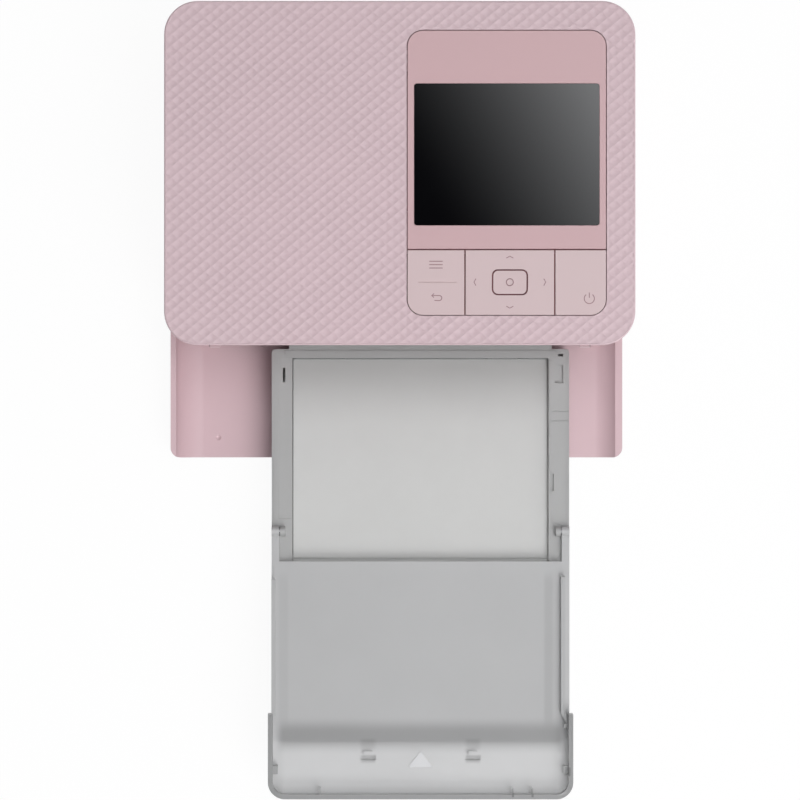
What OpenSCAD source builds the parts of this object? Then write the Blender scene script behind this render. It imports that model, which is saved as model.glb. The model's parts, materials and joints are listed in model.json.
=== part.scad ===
// Compact photo printer, shown ready for use: front cover let down and the
// paper cassette pushed in, with its long outer cover folded back.
// The front of the printer faces -Y and it stands on its rubber feet at z = 0.

/* [Body] */
// Width of the printer body
body_w = 182.2; // [178:0.2:215]
// Depth of the printer body
body_d = 133; // [131:0.5:160]
// Height from the table to the top
body_h = 57.6; // [57.4:0.1:72]
// Radius of the upright corners
corner_r = 13; // [11:0.5:16]
// Wall of the moulded shells
wall = 2.2; // [1.8:0.1:2.4]
// Height of the top cover's side band
top_band = 5.3; // [4.8:0.1:7]
// Rounding of the top cover's upper edge
edge_r = 0.8; // [0.4:0.1:1.4]
// Height of the rubber feet
foot_h = 1.5; // [1:0.1:2.2]
// Radius of the rubber feet
foot_r = 6; // [4:0.5:8]
// Gap between fixed pieces that lie side by side
seam = 0.3; // [0.2:0.05:0.4]

/* [Control panel] */
// Strip of top cover to the right of the panel
panel_side = 11.4; // [9:0.2:14]
// Width of the panel
panel_w = 76.7; // [74:0.1:80]
// Strip of top cover behind the panel
panel_back = 11.5; // [9:0.1:14]
// Strip of top cover in front of the panel
panel_front = 11.6; // [10:0.2:14]
// Radius of the panel's corners
panel_r = 6; // [4:0.5:8]
// Depth of the row of keys
keys_d = 25.3; // [22:0.1:27]
// Width of the menu key
menu_w = 22.2; // [20:0.1:24]
// Width of the cursor key
nav_w = 34.7; // [32:0.1:36]
// Width of the centre key
ok_w = 12.9; // [11:0.1:14]
// Depth of the centre key
ok_d = 9; // [8:0.1:10]
// Width of the screen glass
screen_w = 71.5; // [68:0.1:73]
// Depth of the screen glass
screen_d = 54.7; // [50:0.1:60]
// Strip of bezel in front of the screen
screen_front = 9.4; // [8:0.1:12]
// Gap round each key
key_gap = 0.5; // [0.4:0.05:0.7]

/* [Front cover] */
// Height of the hinge axis
hinge_z = 4.6; // [4.5:0.1:5.5]
// Distance from the cover's face to the hinge axis
hinge_in = 3.2; // [3.1:0.1:3.6]
// Skirt of the cover below the hinge axis
cover_tail = 3; // [2.6:0.1:3.2]
// How far round the right corner the cover reaches
right_wrap = 5.7; // [4:0.1:6.5]
// Distance from the middle to each hinge lug
lug_x = 74; // [73.5:0.1:76]
// Width of a hinge lug or ear
lug_w = 4; // [3:0.2:5]
// Radius of the hinge pins
pin_r = 1; // [0.8:0.05:1.2]

/* [Ink door] */
// Front edge of the door
door_y = 31.5; // [31:0.5:33]
// Length of the door
door_l = 62; // [60:0.5:66]
// Lower edge of the door's opening
door_z = 15; // [14:0.5:16]
// Height of the door's opening
door_h = 33; // [31:0.5:34]
// Radius of the door's barrel
barrel_r = 2.9; // [2.6:0.1:3.2]

/* [Paper path] */
// Middle of the paper path, from the middle of the body
feed_x = 8.2; // [6:0.2:9]
// Height of the paper path at the platen
path_z = 22; // [21.8:0.1:22.6]
// Length of the rubber sleeves
sleeve_l = 102; // [96:1:104]
// Radius of the platen sleeve
platen_r = 6; // [5:0.1:6.4]
// Radius of the steel capstan
capstan_r = 3; // [2.5:0.1:3.4]
// Radius of the pinch sleeve
pinch_r = 3.6; // [3:0.1:4]
// Radius of the pickup tyres
pickup_r = 8; // [7:0.1:8.2]
// Radius of the roller shafts
shaft_r = 2; // [1.6:0.1:2.4]
// Running clearance round a shaft
run_gap = 0.06; // [0.03:0.01:0.09]
// Distance between the chassis plates
chassis_w = 108; // [107:0.5:110]
// Thickness of the chassis plates
plate_t = 1.5; // [1:0.1:2]

/* [Gears] */
// Module of the gears
gear_m = 0.75; // [0.74:0.005:0.76]
// Face width of the gears
gear_w = 4; // [3:0.2:4.5]
// Teeth of the motor pinions
n_pinion = 16; // [16]
// Teeth of the capstan gear
n_capstan = 28; // [28]
// Teeth of the platen and pickup gears
n_roller = 24; // [24]
// Teeth of the small idlers
n_idler = 16; // [16]

/* [Ink cassette] */
// Radius of the spool housings
spool_r = 10; // [9.4:0.1:10.2]
// Distance between the two spools
spool_gap = 38; // [38:0.5:40]
// Height of the spool axes
spool_z = 34; // [33.8:0.1:34.4]
// Space between the ink cassette and the ink door
ink_gap = 5.7; // [3:0.1:8]
// Wall of the ink cassette
ink_wall = 1.2; // [1:0.1:1.5]

/* [Paper cassette] */
// Width over the rails
tray_w = 117.8; // [114:0.2:118]
// Reach of the tray in front of the body
tray_l = 156.8; // [140:0.2:170]
// Width of the narrow end that goes inside
neck_w = 104; // [103:0.5:105]
// Reach of the narrow end inside the body
neck_l = 31; // [29:0.5:31]
// Height of the tray's underside
tray_z = 7; // [6.9:0.1:7.4]
// Height of the tray from underside to deck
tray_h = 13; // [12:0.1:13.4]
// Wall of the paper cassette
tray_wall = 1.6; // [1.4:0.1:2]
// Width of the rails
rail_w = 8.2; // [7:0.1:9]
// Depth of the inner lid below the rails
lid_drop = 2.2; // [1:0.1:2.4]
// Distance from the body to the rear edge of the inner lid
lid_end = 85.1; // [80:0.1:88]
// Distance from the body to the outer cover's pivot
pivot_y = 73.2; // [70:0.1:74]
// Reach of the folded outer cover from the body
cover_end = 178.5; // [170:0.1:190]
// Length of the outer cover's skirt
skirt_l = 33.4; // [28:0.1:36]
// Height of the outer cover's skirt
skirt_h = 8; // [6:0.5:9]
// Width of the outer cover over its skirt
skirt_w = 120.3; // [119.5:0.1:121]
// Thickness of the outer cover
leaf_t = 1.8; // [1.4:0.1:2.2]
// Height of the outer cover's side flanges
flange_h = 2.6; // [1.5:0.1:3.5]

/* [Hidden] */
$fn = 64;
eps = 0.01;
front_y = (cover_end - body_d) / 2;
floor_t = 2;
floor_z = foot_h + floor_t;
band_z = body_h - top_band;
cover_top = band_z - seam;
ceiling_z = body_h - wall;

panel_x = body_w / 2 - panel_side - panel_w;
panel_d = body_d - panel_front - panel_back;
keys_y = panel_front;
split_y = panel_front + keys_d;
menu_x = panel_x;
nav_x = panel_x + menu_w;
power_x = nav_x + nav_w;
power_w = panel_w - menu_w - nav_w;
key_t = 2.2;
key_z = body_h - key_t - 0.1;
bezel_t = 2.4;
glass_t = 1;
glass_x = panel_x + (panel_w - screen_w) / 2;
glass_y = split_y + screen_front;
lcd_t = 3.4;
lcd_z = body_h - bezel_t - lcd_t - 0.1;
board_t = 1.2;
board_z = lcd_z - 1.6;
nav_mid_x = nav_x + nav_w / 2;
keys_mid_y = keys_y + keys_d / 2;

// Circles that the front cover's lower edge and its left wrap turn through
sweep_r = sqrt(pow(hinge_in, 2) + pow(cover_tail, 2)) + 0.35;
wrap_r = sqrt(pow(corner_r - hinge_in, 2) + pow(cover_tail, 2)) + 0.35;
base_front = hinge_in + sweep_r;
right_edge = body_w / 2 - corner_r + sqrt(pow(corner_r, 2) - pow(corner_r - right_wrap, 2));
panel_in = wall + 0.4;
chin_z = hinge_z + sweep_r + 0.1;
mouth_w = neck_w + 2;
mouth_z = 30;

screw_at = [for (x = [-body_w / 2 + 9, body_w / 2 - 9], y = [34, body_d / 2, body_d - 18]) [x, y]];
foot_at = [for (x = [-body_w / 2 + 20, body_w / 2 - 20], y = [17, body_d - 15]) [x, y]];
board_margin = 4.4;
board_posts = [for (x = [panel_x - 2.4, panel_x + panel_w + 2.4], y = [keys_y + 4, keys_y + keys_d - 5])
    [x, y]];

// Openings in the walls
door_axis = [body_w / 2 - barrel_r, door_z + seam + barrel_r];
lever_at = [door_y + door_l + 4, 38];
lever_x = body_w / 2 - wall - 5.1;
card_y = 18.4;
card_z = 12;
card_t = 2.6;
card_h = 25.4;
usb_y = 24.2;
usb_z = 26;
usb_t = 3.4;
usb_h = 9.2;
slot_h = 6;
slot_z = path_z - 3;
jack_x = 25.1 - body_w / 2;
jack_z = 12;
jack_r = 3.2;
vent_n = 9;
vent_pitch = 4.4;

chassis_x = feed_x - chassis_w / 2;
chassis_z = floor_z + 0.1;
chassis_top = 48.6;
chassis_y = 12;
chassis_l = 106;
gear_x = chassis_x - plate_t - 0.6 - gear_w;
ribbon_gear_x = gear_x - 0.8 - gear_w;
bracket_x = ribbon_gear_x - 0.8 - plate_t;
shaft_end = 0.8;
runner_w = 6;
stud_r = 1.5;
play = 0.05;
stand_off_at = [[52, 44], [112, 12], [116, 46]];
head_gap = 4;
head_w = chassis_w - 2 * head_gap;
head_top = 45.2;
film_w = head_w - 2;
ink_x = chassis_x + 1;
ink_l = body_w / 2 - wall - ink_gap - ink_x;
spool_bore = 3.4;
hub_l = 9;

// Axes of the mechanism as [y, z], with y from the front of the body
head_y = 62;
capstan_y = 98;
pickup_y = 22;
platen_at = [head_y, path_z - 0.1 - platen_r];
capstan_at = [capstan_y, path_z - 0.1 - capstan_r];
pinch_at = [capstan_y, path_z + 0.3 + pinch_r];
pickup_at = [pickup_y, tray_z + tray_h - 1.6 + pickup_r];
supply_at = [head_y - spool_gap / 2, spool_z];
takeup_at = [head_y + spool_gap / 2, spool_z];
head_pivot_at = [104, 44];
shaft_holes = [platen_at, capstan_at, pinch_at, pickup_at];

function pitch(n) = gear_m * n / 2;
function mesh_d(n1, n2) = pitch(n1) + pitch(n2) + 0.05;
function heading(a, b) = atan2(b[1] - a[1], b[0] - a[0]);
function polar(a, r, t) = [a[0] + r * cos(t), a[1] + r * sin(t)];
// Corner of a triangle on the line a-b at distances ra and rb, to the left of the line
function apex(a, b, ra, rb) =
    let (l = norm(b - a), k = (ra * ra - rb * rb + l * l) / (2 * l))
    polar(a, ra, heading(a, b) + acos(k / ra));
// Angle of a tooth on the second gear of a meshing pair
function mate(n1, p1, th, n2) = th + 180 - (n1 * (p1 - th) + 180) / n2;

// Teeth of the gear between the platen and the capstan
n_link = 23;
link_at = apex(platen_at, capstan_at, mesh_d(n_roller, n_link), mesh_d(n_link, n_capstan));
motor_at = polar(capstan_at, mesh_d(n_pinion, n_capstan), 60);
idler_span = mesh_d(n_roller, n_idler);
idler_mid = mesh_d(n_idler, n_idler);
idler_tilt = acos((norm(pickup_at - platen_at) - idler_mid) / (2 * idler_span));
idler_rear_at = polar(platen_at, idler_span, heading(platen_at, pickup_at) + idler_tilt);
idler_front_at = polar(pickup_at, idler_span, heading(pickup_at, platen_at) - idler_tilt);
ribbon_motor_at = polar(takeup_at, mesh_d(n_pinion, n_roller), 150);

motor_phase = 0;
capstan_phase = mate(n_pinion, motor_phase, heading(motor_at, capstan_at), n_capstan);
link_phase = mate(n_capstan, capstan_phase, heading(capstan_at, link_at), n_link);
platen_phase = mate(n_link, link_phase, heading(link_at, platen_at), n_roller);
idler_rear_phase = mate(n_roller, platen_phase, heading(platen_at, idler_rear_at), n_idler);
idler_front_phase = mate(n_idler, idler_rear_phase, heading(idler_rear_at, idler_front_at), n_idler);
pickup_phase = mate(n_idler, idler_front_phase, heading(idler_front_at, pickup_at), n_roller);
takeup_phase = mate(n_pinion, 0, heading(ribbon_motor_at, takeup_at), n_roller);

deck_z = tray_z + tray_h;
leaf_z = deck_z + 0.5;
pivot_z = leaf_z + leaf_t / 2;
tray_x = feed_x - tray_w / 2;
neck_x = feed_x - neck_w / 2;
lid_x = tray_x + rail_w + seam;
lid_w = tray_w - 2 * (rail_w + seam);
lid_t = 1.6;
lid_z = deck_z - lid_drop - lid_t;
bridge_l = 6;
lid_front = 4.7;
hinge_slot = 5.6;
lift_axis_y = -18;
rail_t = lid_drop + lid_t + 0.7;
wall_top = deck_z - rail_t;
lid_axis = [1.6 - lid_end, lid_z + lid_t / 2];
bead_h = 0.3;
tray_r = 4;
cover_wall = 1.8;
arm_r = 2;
lift_w = neck_w - 2 * tray_wall - 1;

skin = [0.80, 0.71, 0.73];
key_skin = [0.82, 0.74, 0.74];
smoke = [0.62, 0.63, 0.63];
dark = [0.16, 0.16, 0.17];
steel = [0.72, 0.73, 0.75];
rubber = [0.12, 0.12, 0.12];
board_green = [0.10, 0.32, 0.20];
pale = [0.86, 0.86, 0.84];

// ---- Shapes that repeat

module at_front() {
    translate([0, front_y, 0]) children();
}

// Rounded rectangle with its lower left corner at the origin
module rounded(w, d, r) {
    translate([r, 0]) square([w - 2 * r, d]);
    translate([0, r]) square([w, d - 2 * r]);
    for (x = [r, w - r], y = [r, d - r]) translate([x, y]) circle(r);
}

// Plan of the body, drawn in by an inset
module body_plan(inset) {
    translate([inset - body_w / 2, inset])
        rounded(body_w - 2 * inset, body_d - 2 * inset, corner_r - inset);
}

// Plan of the control panel, grown by a margin
module panel_plan(margin) {
    translate([panel_x - margin, panel_front - margin])
        rounded(panel_w + 2 * margin, panel_d + 2 * margin, panel_r + margin);
}

// Rectangle with its lower left corner at the origin and other radii at its two ends
module two_radii(w, l, low, high) {
    translate([low, 0]) square([w - 2 * low, low + eps]);
    translate([0, low]) square([w, l - low - high]);
    translate([high, l - high - eps]) square([w - 2 * high, high + eps]);
    for (x = [low, w - low]) translate([x, low]) circle(low);
    for (x = [high, w - high]) translate([x, l - high]) circle(high);
}

module plan_ring(outer, inner) {
    difference() {
        body_plan(outer);
        body_plan(inner);
    }
}

// Rounded slab with a quarter-round upper edge
module soft_slab(w, d, r, h, e) {
    linear_extrude(h - e) rounded(w, d, r);
    linear_extrude(h) translate([e, e]) rounded(w - 2 * e, d - 2 * e, r - e);
    for (y = [e, d - e]) translate([r, y, h - e]) rotate([0, 90, 0]) cylinder(r = e, h = w - 2 * r);
    for (x = [e, w - e]) translate([x, r, h - e]) rotate([-90, 0, 0]) cylinder(r = e, h = d - 2 * r);
    for (x = [r, w - r], y = [r, d - r])
        translate([x, y, h - e]) rotate_extrude() {
            square([r - e, e]);
            translate([r - e, 0]) intersection() {
                circle(e);
                square(e);
            }
        }
}

// Cylinder along X from x, about an axis given as [y, z]
module rod(x, l, at, r) {
    translate([x, at[0], at[1]]) rotate([0, 90, 0]) cylinder(r = r, h = l);
}

module bore_along_x(x, l, at, r) {
    rod(x - eps, l + 2 * eps, at, r);
}

// Extrusion along X of a shape drawn in the [y, z] plane
module along_x(x, l) {
    translate([x, 0, 0]) rotate([90, 0, 90]) linear_extrude(l) children();
}

// Half the angle of a tooth at radius r: an involute with a little play at the pitch circle
function inv(t) = tan(t) * 180 / PI - t;
function tooth_half(n, r) =
    let (base = pitch(n) * cos(20), t = acos(min(1, base / r)))
    90 / n - play / pitch(n) * 180 / PI + inv(20) - inv(t);

function gear_points(n) =
    let (pr = pitch(n), base = pr * cos(20), root = pr - 1.2 * gear_m, tip = pr + 0.85 * gear_m,
        low = max(base, root), radii = [low, (low + tip) / 2, tip])
    [for (i = [0:n - 1]) each concat(
        [[root, 360 * i / n - tooth_half(n, low) - 0.8]],
        [for (r = radii) [r, 360 * i / n - tooth_half(n, r)]],
        [for (k = [2:-1:0]) [radii[k], 360 * i / n + tooth_half(n, radii[k])]],
        [[root, 360 * i / n + tooth_half(n, low) + 0.8]])];

// Gear along X with a tooth at the phase angle
module gear(n, x, at, phase) {
    pr = pitch(n);
    translate([x, at[0], at[1]]) rotate([90, 0, 90]) linear_extrude(gear_w) rotate(phase)
        difference() {
            polygon([for (p = gear_points(n)) [p[0] * cos(p[1]), p[0] * sin(p[1])]]);
            if (pr > 8) for (i = [0:4]) rotate(72 * i) translate([pr * 0.56, 0]) circle(pr * 0.17);
        }
}

// Rear post of a screw or stand-off
module post(at, z, h, r, bore) {
    translate([at[0], at[1], z]) difference() {
        cylinder(r = r, h = h);
        if (bore > 0) translate([0, 0, -eps]) cylinder(r = bore, h = h + 2 * eps);
    }
}

// Space that the front cover's lower edge turns through
module cover_sweep() {
    rod(-body_w / 2 - 1, body_w + 2, [hinge_in, hinge_z], sweep_r);
}

// ---- Casings

module base_case() {
    color(skin) at_front() difference() {
        union() {
            translate([0, 0, foot_h]) linear_extrude(floor_t) body_plan(0);
            translate([0, 0, floor_z - eps]) linear_extrude(3)
                plan_ring(wall + 0.15, wall + 0.15 + 1.4);
            for (p = screw_at) post(p, floor_z - eps, 8, 3, 0);
            for (s = [-1, 1]) {
                translate([s * lug_x - lug_w / 2, hinge_in, foot_h + 0.2])
                    cube([lug_w, sweep_r + 2, hinge_z - foot_h - 0.2]);
                rod(s * lug_x - lug_w / 2, lug_w, [hinge_in, hinge_z], hinge_in - 0.6);
            }
        }
        difference() {
            translate([-body_w / 2 - 1, -1, 0]) cube([body_w + 2, base_front + 1, 20]);
            for (s = [-1, 1]) translate([s * lug_x - lug_w / 2, -2, 0]) cube([lug_w, base_front + 4, 30]);
        }
        translate([-body_w / 2 - 1, -1, 0]) cube([7.6, hinge_in + wrap_r + 1, 30]);
        for (s = [-1, 1]) bore_along_x(s * lug_x - lug_w / 2, lug_w, [hinge_in, hinge_z], pin_r + run_gap);
        for (p = screw_at) translate([p[0], p[1], 0]) {
            cylinder(r = 1.4, h = 20);
            cylinder(r = 2.9, h = foot_h + 1.1);
        }
        for (p = foot_at) translate([p[0], p[1], 0]) cylinder(r = foot_r + 0.1, h = foot_h + 0.8);
    }
}

module side_case() {
    color(skin) at_front() difference() {
        union() {
            translate([0, 0, floor_z]) linear_extrude(band_z - floor_z) plan_ring(0, wall);
            // Ears of the ink door
            for (y = [door_y - 5, door_y + door_l + 0.4])
                translate([body_w / 2 - wall - 4.4, y, door_z])
                    cube([4.5, 4.6, 2 * barrel_r + 1]);
            // Boss of the lock lever
            rod(body_w / 2 - wall - 2.4, 2.5, lever_at, 3);
        }
        // Room for the front cover, which wraps further round the left corner
        translate([-body_w / 2 - 1, -1, 0]) cube([body_w / 2 + 1, corner_r + 1 + seam, 100]);
        translate([-1, -1, 0]) cube([body_w, right_wrap + 1 + seam + 0.2, 100]);
        cover_sweep();
        translate([-body_w / 2 - 1, 0, 0]) rod(0, 6, [hinge_in, hinge_z], wrap_r);
        // Ink door, memory card and lead openings
        translate([body_w / 2 - wall - 1, door_y, door_z]) cube([wall + 2, door_l, door_h]);
        for (y = [door_y - 5, door_y + door_l])
            rod_y(y - 0.2, 5.4, door_axis, pin_r);
        translate([body_w / 2 - wall - 1, card_y, card_z]) cube([wall + 2, card_t, card_h]);
        translate([body_w / 2 - wall - 1, usb_y, usb_z]) cube([wall + 2, usb_t, usb_h]);
        bore_along_x(body_w / 2 - wall - 2.4, 2.5, lever_at, pin_r);
        // Slot at the back for the sheet, and the power inlet
        translate([feed_x - neck_w / 2, body_d - wall - 1, slot_z]) cube([neck_w, wall + 2, slot_h]);
        translate([jack_x, body_d + 1, jack_z]) rotate([90, 0, 0]) cylinder(r = jack_r, h = wall + 2);
        for (i = [0:vent_n - 1])
            translate([-body_w / 2 - 1, body_d * 0.52 + i * vent_pitch, 14]) cube([wall + 2, 1.8, 20]);
    }
}

module rod_y(y, l, at, r) {
    translate([at[0], y, at[1]]) rotate([-90, 0, 0]) cylinder(r = r, h = l);
}

module top_cover() {
    color(skin) at_front() {
        difference() {
            translate([-body_w / 2, 0, band_z]) soft_slab(body_w, body_d, corner_r, top_band, edge_r);
            translate([0, 0, band_z - eps]) linear_extrude(top_band - wall + eps) body_plan(wall);
            linear_extrude(body_h + 1) panel_plan(seam);
        }
        // Posts that carry the key board
        for (p = board_posts) post(p, board_z + board_t, ceiling_z - board_z - board_t + eps, 1.8, 0);
    }
}

module front_panel() {
    color(skin) at_front() difference() {
        translate([0, 0, chin_z]) linear_extrude(ceiling_z - chin_z) intersection() {
            plan_ring(panel_in, panel_in + 1.8);
            translate([-body_w / 2, 0]) square([body_w, corner_r + 2]);
        }
        translate([feed_x - mouth_w / 2, -1, 0]) cube([mouth_w, corner_r, mouth_z]);
        translate([0, 0, ceiling_z - 3]) linear_extrude(4) panel_plan(1);
    }
}

// ---- Front cover, modelled shut and then let down about its hinge

module cover_plan() {
    intersection() {
        plan_ring(0, wall);
        union() {
            translate([-body_w / 2, 0]) square([body_w / 2, corner_r]);
            translate([-1, 0]) square([body_w / 2 + 1, right_wrap]);
        }
    }
}

module front_cover_shut() {
    difference() {
        union() {
            translate([0, 0, hinge_z - cover_tail]) linear_extrude(cover_top - hinge_z + cover_tail)
                cover_plan();
            for (s = [-1, 1])
                rod(s * (lug_x + lug_w + 0.3) - lug_w / 2, lug_w, [hinge_in, hinge_z], hinge_in - 0.2);
        }
        for (s = [-1, 1]) {
            translate([s * lug_x - lug_w / 2 - 0.3, -1, hinge_z - cover_tail - 1])
                cube([lug_w + 0.6, hinge_in + 3, cover_tail + hinge_in + 1.4]);
            bore_along_x(s * (lug_x + lug_w + 0.3) - lug_w / 2, lug_w, [hinge_in, hinge_z], pin_r + run_gap);
        }
        // Rounded upper corners
        for (s = [-1, 1]) translate([0, corner_r, cover_top]) rotate([90, 0, 0])
            linear_extrude(corner_r + 1) difference() {
                translate([s > 0 ? right_edge - 4 : -body_w / 2 - 1, -4]) square([5, 5]);
                translate([s > 0 ? right_edge - 4 : -body_w / 2 + 4, -4]) circle(4);
            }
        // Finger dimples on the inside
        for (x = [-body_w / 2 + 18.5, body_w / 2 - 4.2])
            translate([x, wall + 1.1, cover_top - 8]) sphere(r = 1.6);
    }
}

module front_cover() {
    color(skin) at_front() translate([0, hinge_in, hinge_z]) rotate([90, 0, 0])
        translate([0, -hinge_in, -hinge_z]) front_cover_shut();
}

module cover_hinge_pins() {
    color(steel) at_front() for (s = [-1, 1])
        rod(s * (lug_x + lug_w / 2 + 0.15) - lug_w - 0.15, 2 * lug_w + 0.3, [hinge_in, hinge_z], pin_r);
}

// ---- Ink door

module ink_door() {
    x0 = body_w / 2 - wall;
    color(skin) at_front() difference() {
        union() {
            translate([x0, door_y + seam, door_axis[1]])
                cube([wall, door_l - 2 * seam, door_h - 2 * seam - barrel_r]);
            rod_y(door_y + seam, door_l - 2 * seam, door_axis, barrel_r);
            // Catch at the top edge and stiffening ribs
            translate([x0 - 1, door_y + door_l / 2 - 6, door_z + door_h - seam - 3]) cube([1.1, 12, 1.2]);
            for (y = [door_y + 9, door_y + door_l - 10])
                translate([x0 - 1, y, door_axis[1]]) cube([1.1, 1.2, door_h - 12]);
        }
        for (y = [door_y, door_y + door_l - 5]) rod_y(y - eps, 5, door_axis, pin_r + run_gap);
        // Finger scoop
        translate([body_w / 2 + 5.2, door_y + door_l / 2, door_z + door_h - 4]) sphere(r = 6.4);
    }
}

module door_pins() {
    color(steel) at_front() for (y = [door_y - 4.6, door_y + door_l - 4.4])
        rod_y(y, 9, door_axis, pin_r);
}

// ---- Control panel

module panel_piece(x, y, w, d, z, t) {
    intersection() {
        translate([0, 0, z]) linear_extrude(t) panel_plan(0);
        translate([x, y, z - 1]) cube([w, d, t + 2]);
    }
}

module display_bezel() {
    color(skin) at_front() difference() {
        panel_piece(panel_x - 1, split_y + key_gap / 2, panel_w + 2, panel_d, body_h - bezel_t, bezel_t);
        translate([glass_x - 0.1, glass_y - 0.1, body_h - glass_t - 0.15])
            linear_extrude(3) rounded(screen_w + 0.2, screen_d + 0.2, 1.1);
        translate([glass_x + 1.5, glass_y + 1.5, 0]) cube([screen_w - 3, screen_d - 3, 100]);
    }
}

module display_glass() {
    color(dark) at_front() translate([glass_x, glass_y, body_h - glass_t - 0.15])
        linear_extrude(glass_t) rounded(screen_w, screen_d, 1);
}

module lcd_module() {
    color(steel) at_front() {
        translate([glass_x - 1.5, glass_y - 3, lcd_z]) cube([screen_w + 3, screen_d + 6, lcd_t]);
        translate([glass_x + 3, glass_y + 3, lcd_z + lcd_t - eps]) cube([screen_w - 6, screen_d - 6, 1.2]);
    }
}

module menu_button() {
    color(key_skin) at_front() difference() {
        union() {
            panel_piece(panel_x, keys_y, menu_w - key_gap / 2, keys_d - key_gap / 2, key_z, key_t);
            // Round-edged fulcrum on which the key rocks
            translate([menu_x + menu_w / 2 - 4, keys_mid_y - 0.8, board_z + board_t + 1.1])
                cube([8, 1.6, key_z - board_z - board_t - 1.1 + eps]);
            rod(menu_x + menu_w / 2 - 4, 8, [keys_mid_y, board_z + board_t + 1.1], 0.8);
        }
        translate([menu_x + 4.2, keys_mid_y - 0.15, key_z + key_t - 0.25]) cube([menu_w - 7.6, 0.3, 1]);
    }
}

module nav_pivot() {
    color(dark) at_front() difference() {
        union() {
            translate([nav_mid_x - 11, keys_mid_y - 8, key_z - 1.9]) cube([22, 16, 1]);
            for (s = [-1, 1]) rod(nav_mid_x + s * 9.6 - 1.2, 2.4, [keys_mid_y, key_z - 0.7], 0.6);
            rod_y(keys_mid_y - 7.6, 15.2, [nav_mid_x, key_z - 1.9], 0.6);
        }
        translate([nav_mid_x - 4, keys_mid_y - 4, 0]) cube([8, 8, 100]);
    }
}

module nav_pad() {
    color(key_skin) at_front() difference() {
        translate([nav_x + key_gap / 2, keys_y, key_z])
            linear_extrude(key_t) square([nav_w - key_gap, keys_d - key_gap / 2]);
        translate([nav_mid_x - ok_w / 2 - key_gap, keys_mid_y - ok_d / 2 - key_gap, 0])
            linear_extrude(100) rounded(ok_w + 2 * key_gap, ok_d + 2 * key_gap, 2.3);
    }
}

module ok_button() {
    color(key_skin) at_front() {
        translate([nav_mid_x - ok_w / 2, keys_mid_y - ok_d / 2, key_z])
            linear_extrude(key_t - 0.1) rounded(ok_w, ok_d, 1.9);
        translate([nav_mid_x, keys_mid_y, key_z - 2.2]) cylinder(r = 2, h = 2.3);
    }
}

module power_button() {
    color(key_skin) at_front() {
        panel_piece(power_x + key_gap / 2, keys_y, power_w, keys_d - key_gap / 2, key_z, key_t);
        translate([power_x + power_w / 2, keys_mid_y, key_z - 2.2]) cylinder(r = 2, h = 2.3);
    }
}

module button_board() {
    color(board_green) at_front() {
        translate([panel_x - board_margin, keys_y + 0.5, board_z])
            cube([panel_w + 2 * board_margin, keys_d - 2, board_t]);
        // Fulcrum of the cursor key's gimbal
        for (s = [-1, 1]) translate([nav_mid_x, keys_mid_y + s * 6.4, board_z + board_t - eps])
            cylinder(r = 0.8, h = key_z - 2.6 - board_z - board_t);
        for (x = [nav_mid_x, power_x + power_w / 2])
            translate([x, keys_mid_y, board_z + board_t - eps]) cylinder(r = 2.6, h = 0.9);
        for (y = [keys_y + 4, keys_y + keys_d - 5])
            translate([menu_x + menu_w / 2, y, board_z + board_t - eps]) cylinder(r = 1.8, h = 1);
        for (x = [nav_x + 4, nav_x + nav_w - 4])
            translate([x, keys_mid_y, board_z + board_t - eps]) cylinder(r = 1.8, h = 1);
    }
}

// ---- Chassis and boards

module main_board() {
    x = -body_w / 2 + wall + 3;
    color(board_green) at_front() {
        translate([x, 22, 12.2]) cube([1.6, 92, 32]);
        translate([x + 1.6 - eps, 40, 18]) cube([1.4, 14, 14]);
        translate([x + 1.6 - eps, 62, 22]) cube([1.2, 10, 8]);
        for (i = [0:3]) translate([x + 1.6 - eps, 28 + 5 * i, 36]) rotate([0, 90, 0]) cylinder(r = 1.8, h = 5);
        for (y = [78, 96]) translate([x + 1.6 - eps, y, 14]) cube([4, 12, 5]);
        for (y = [26, 108], z = [16, 40]) rod(x - 3, 3 + eps, [y, z], 1.6);
    }
}

module chassis_outline() {
    translate([chassis_y, chassis_z]) square([chassis_l, chassis_top - chassis_z]);
}

// Folded flange that the narrow end of the paper cassette slides on
module runner(x) {
    translate([x, chassis_y, tray_z - run_gap - plate_t]) cube([runner_w, 22, plate_t]);
}

module chassis_left() {
    color(steel) at_front() difference() {
        union() {
            along_x(chassis_x - plate_t, plate_t) chassis_outline();
            runner(chassis_x - eps);
            for (a = [link_at, idler_rear_at, idler_front_at])
                rod(gear_x - 0.5, chassis_x - plate_t - gear_x + 0.5 + eps, a, stud_r);
        }
        for (a = shaft_holes) bore_along_x(chassis_x - plate_t, plate_t, a, shaft_r + run_gap);
        for (a = [takeup_at, supply_at]) bore_along_x(chassis_x - plate_t, plate_t, a, shaft_r + run_gap);
        bore_along_x(chassis_x - plate_t, plate_t, head_pivot_at, shaft_r);
    }
}

module chassis_right() {
    x = chassis_x + chassis_w;
    color(steel) at_front() difference() {
        union() {
            along_x(x, plate_t) chassis_outline();
            runner(x - runner_w + eps);
        }
        for (a = shaft_holes) bore_along_x(x, plate_t, a, shaft_r + run_gap);
        bore_along_x(x, plate_t, head_pivot_at, shaft_r);
        // Window that the ink cassette slides through
        translate([x - 1, supply_at[0] - spool_r - 0.8, spool_z - spool_r - 0.8])
            cube([plate_t + 2, spool_gap + 2 * spool_r + 1.6, 2 * spool_r + 1.6]);
    }
}

module chassis_brace() {
    color(steel) at_front() {
        translate([chassis_x, chassis_y + 1, chassis_top - 2.2]) cube([chassis_w, 12, 1.2]);
        translate([chassis_x, chassis_y + chassis_l - 8, chassis_top - 2.2]) cube([chassis_w, 7, 1.2]);
        translate([chassis_x, chassis_y + chassis_l - 2.2, path_z + 6]) cube([chassis_w, 1.2, chassis_top - path_z - 7.5]);
    }
}

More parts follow.
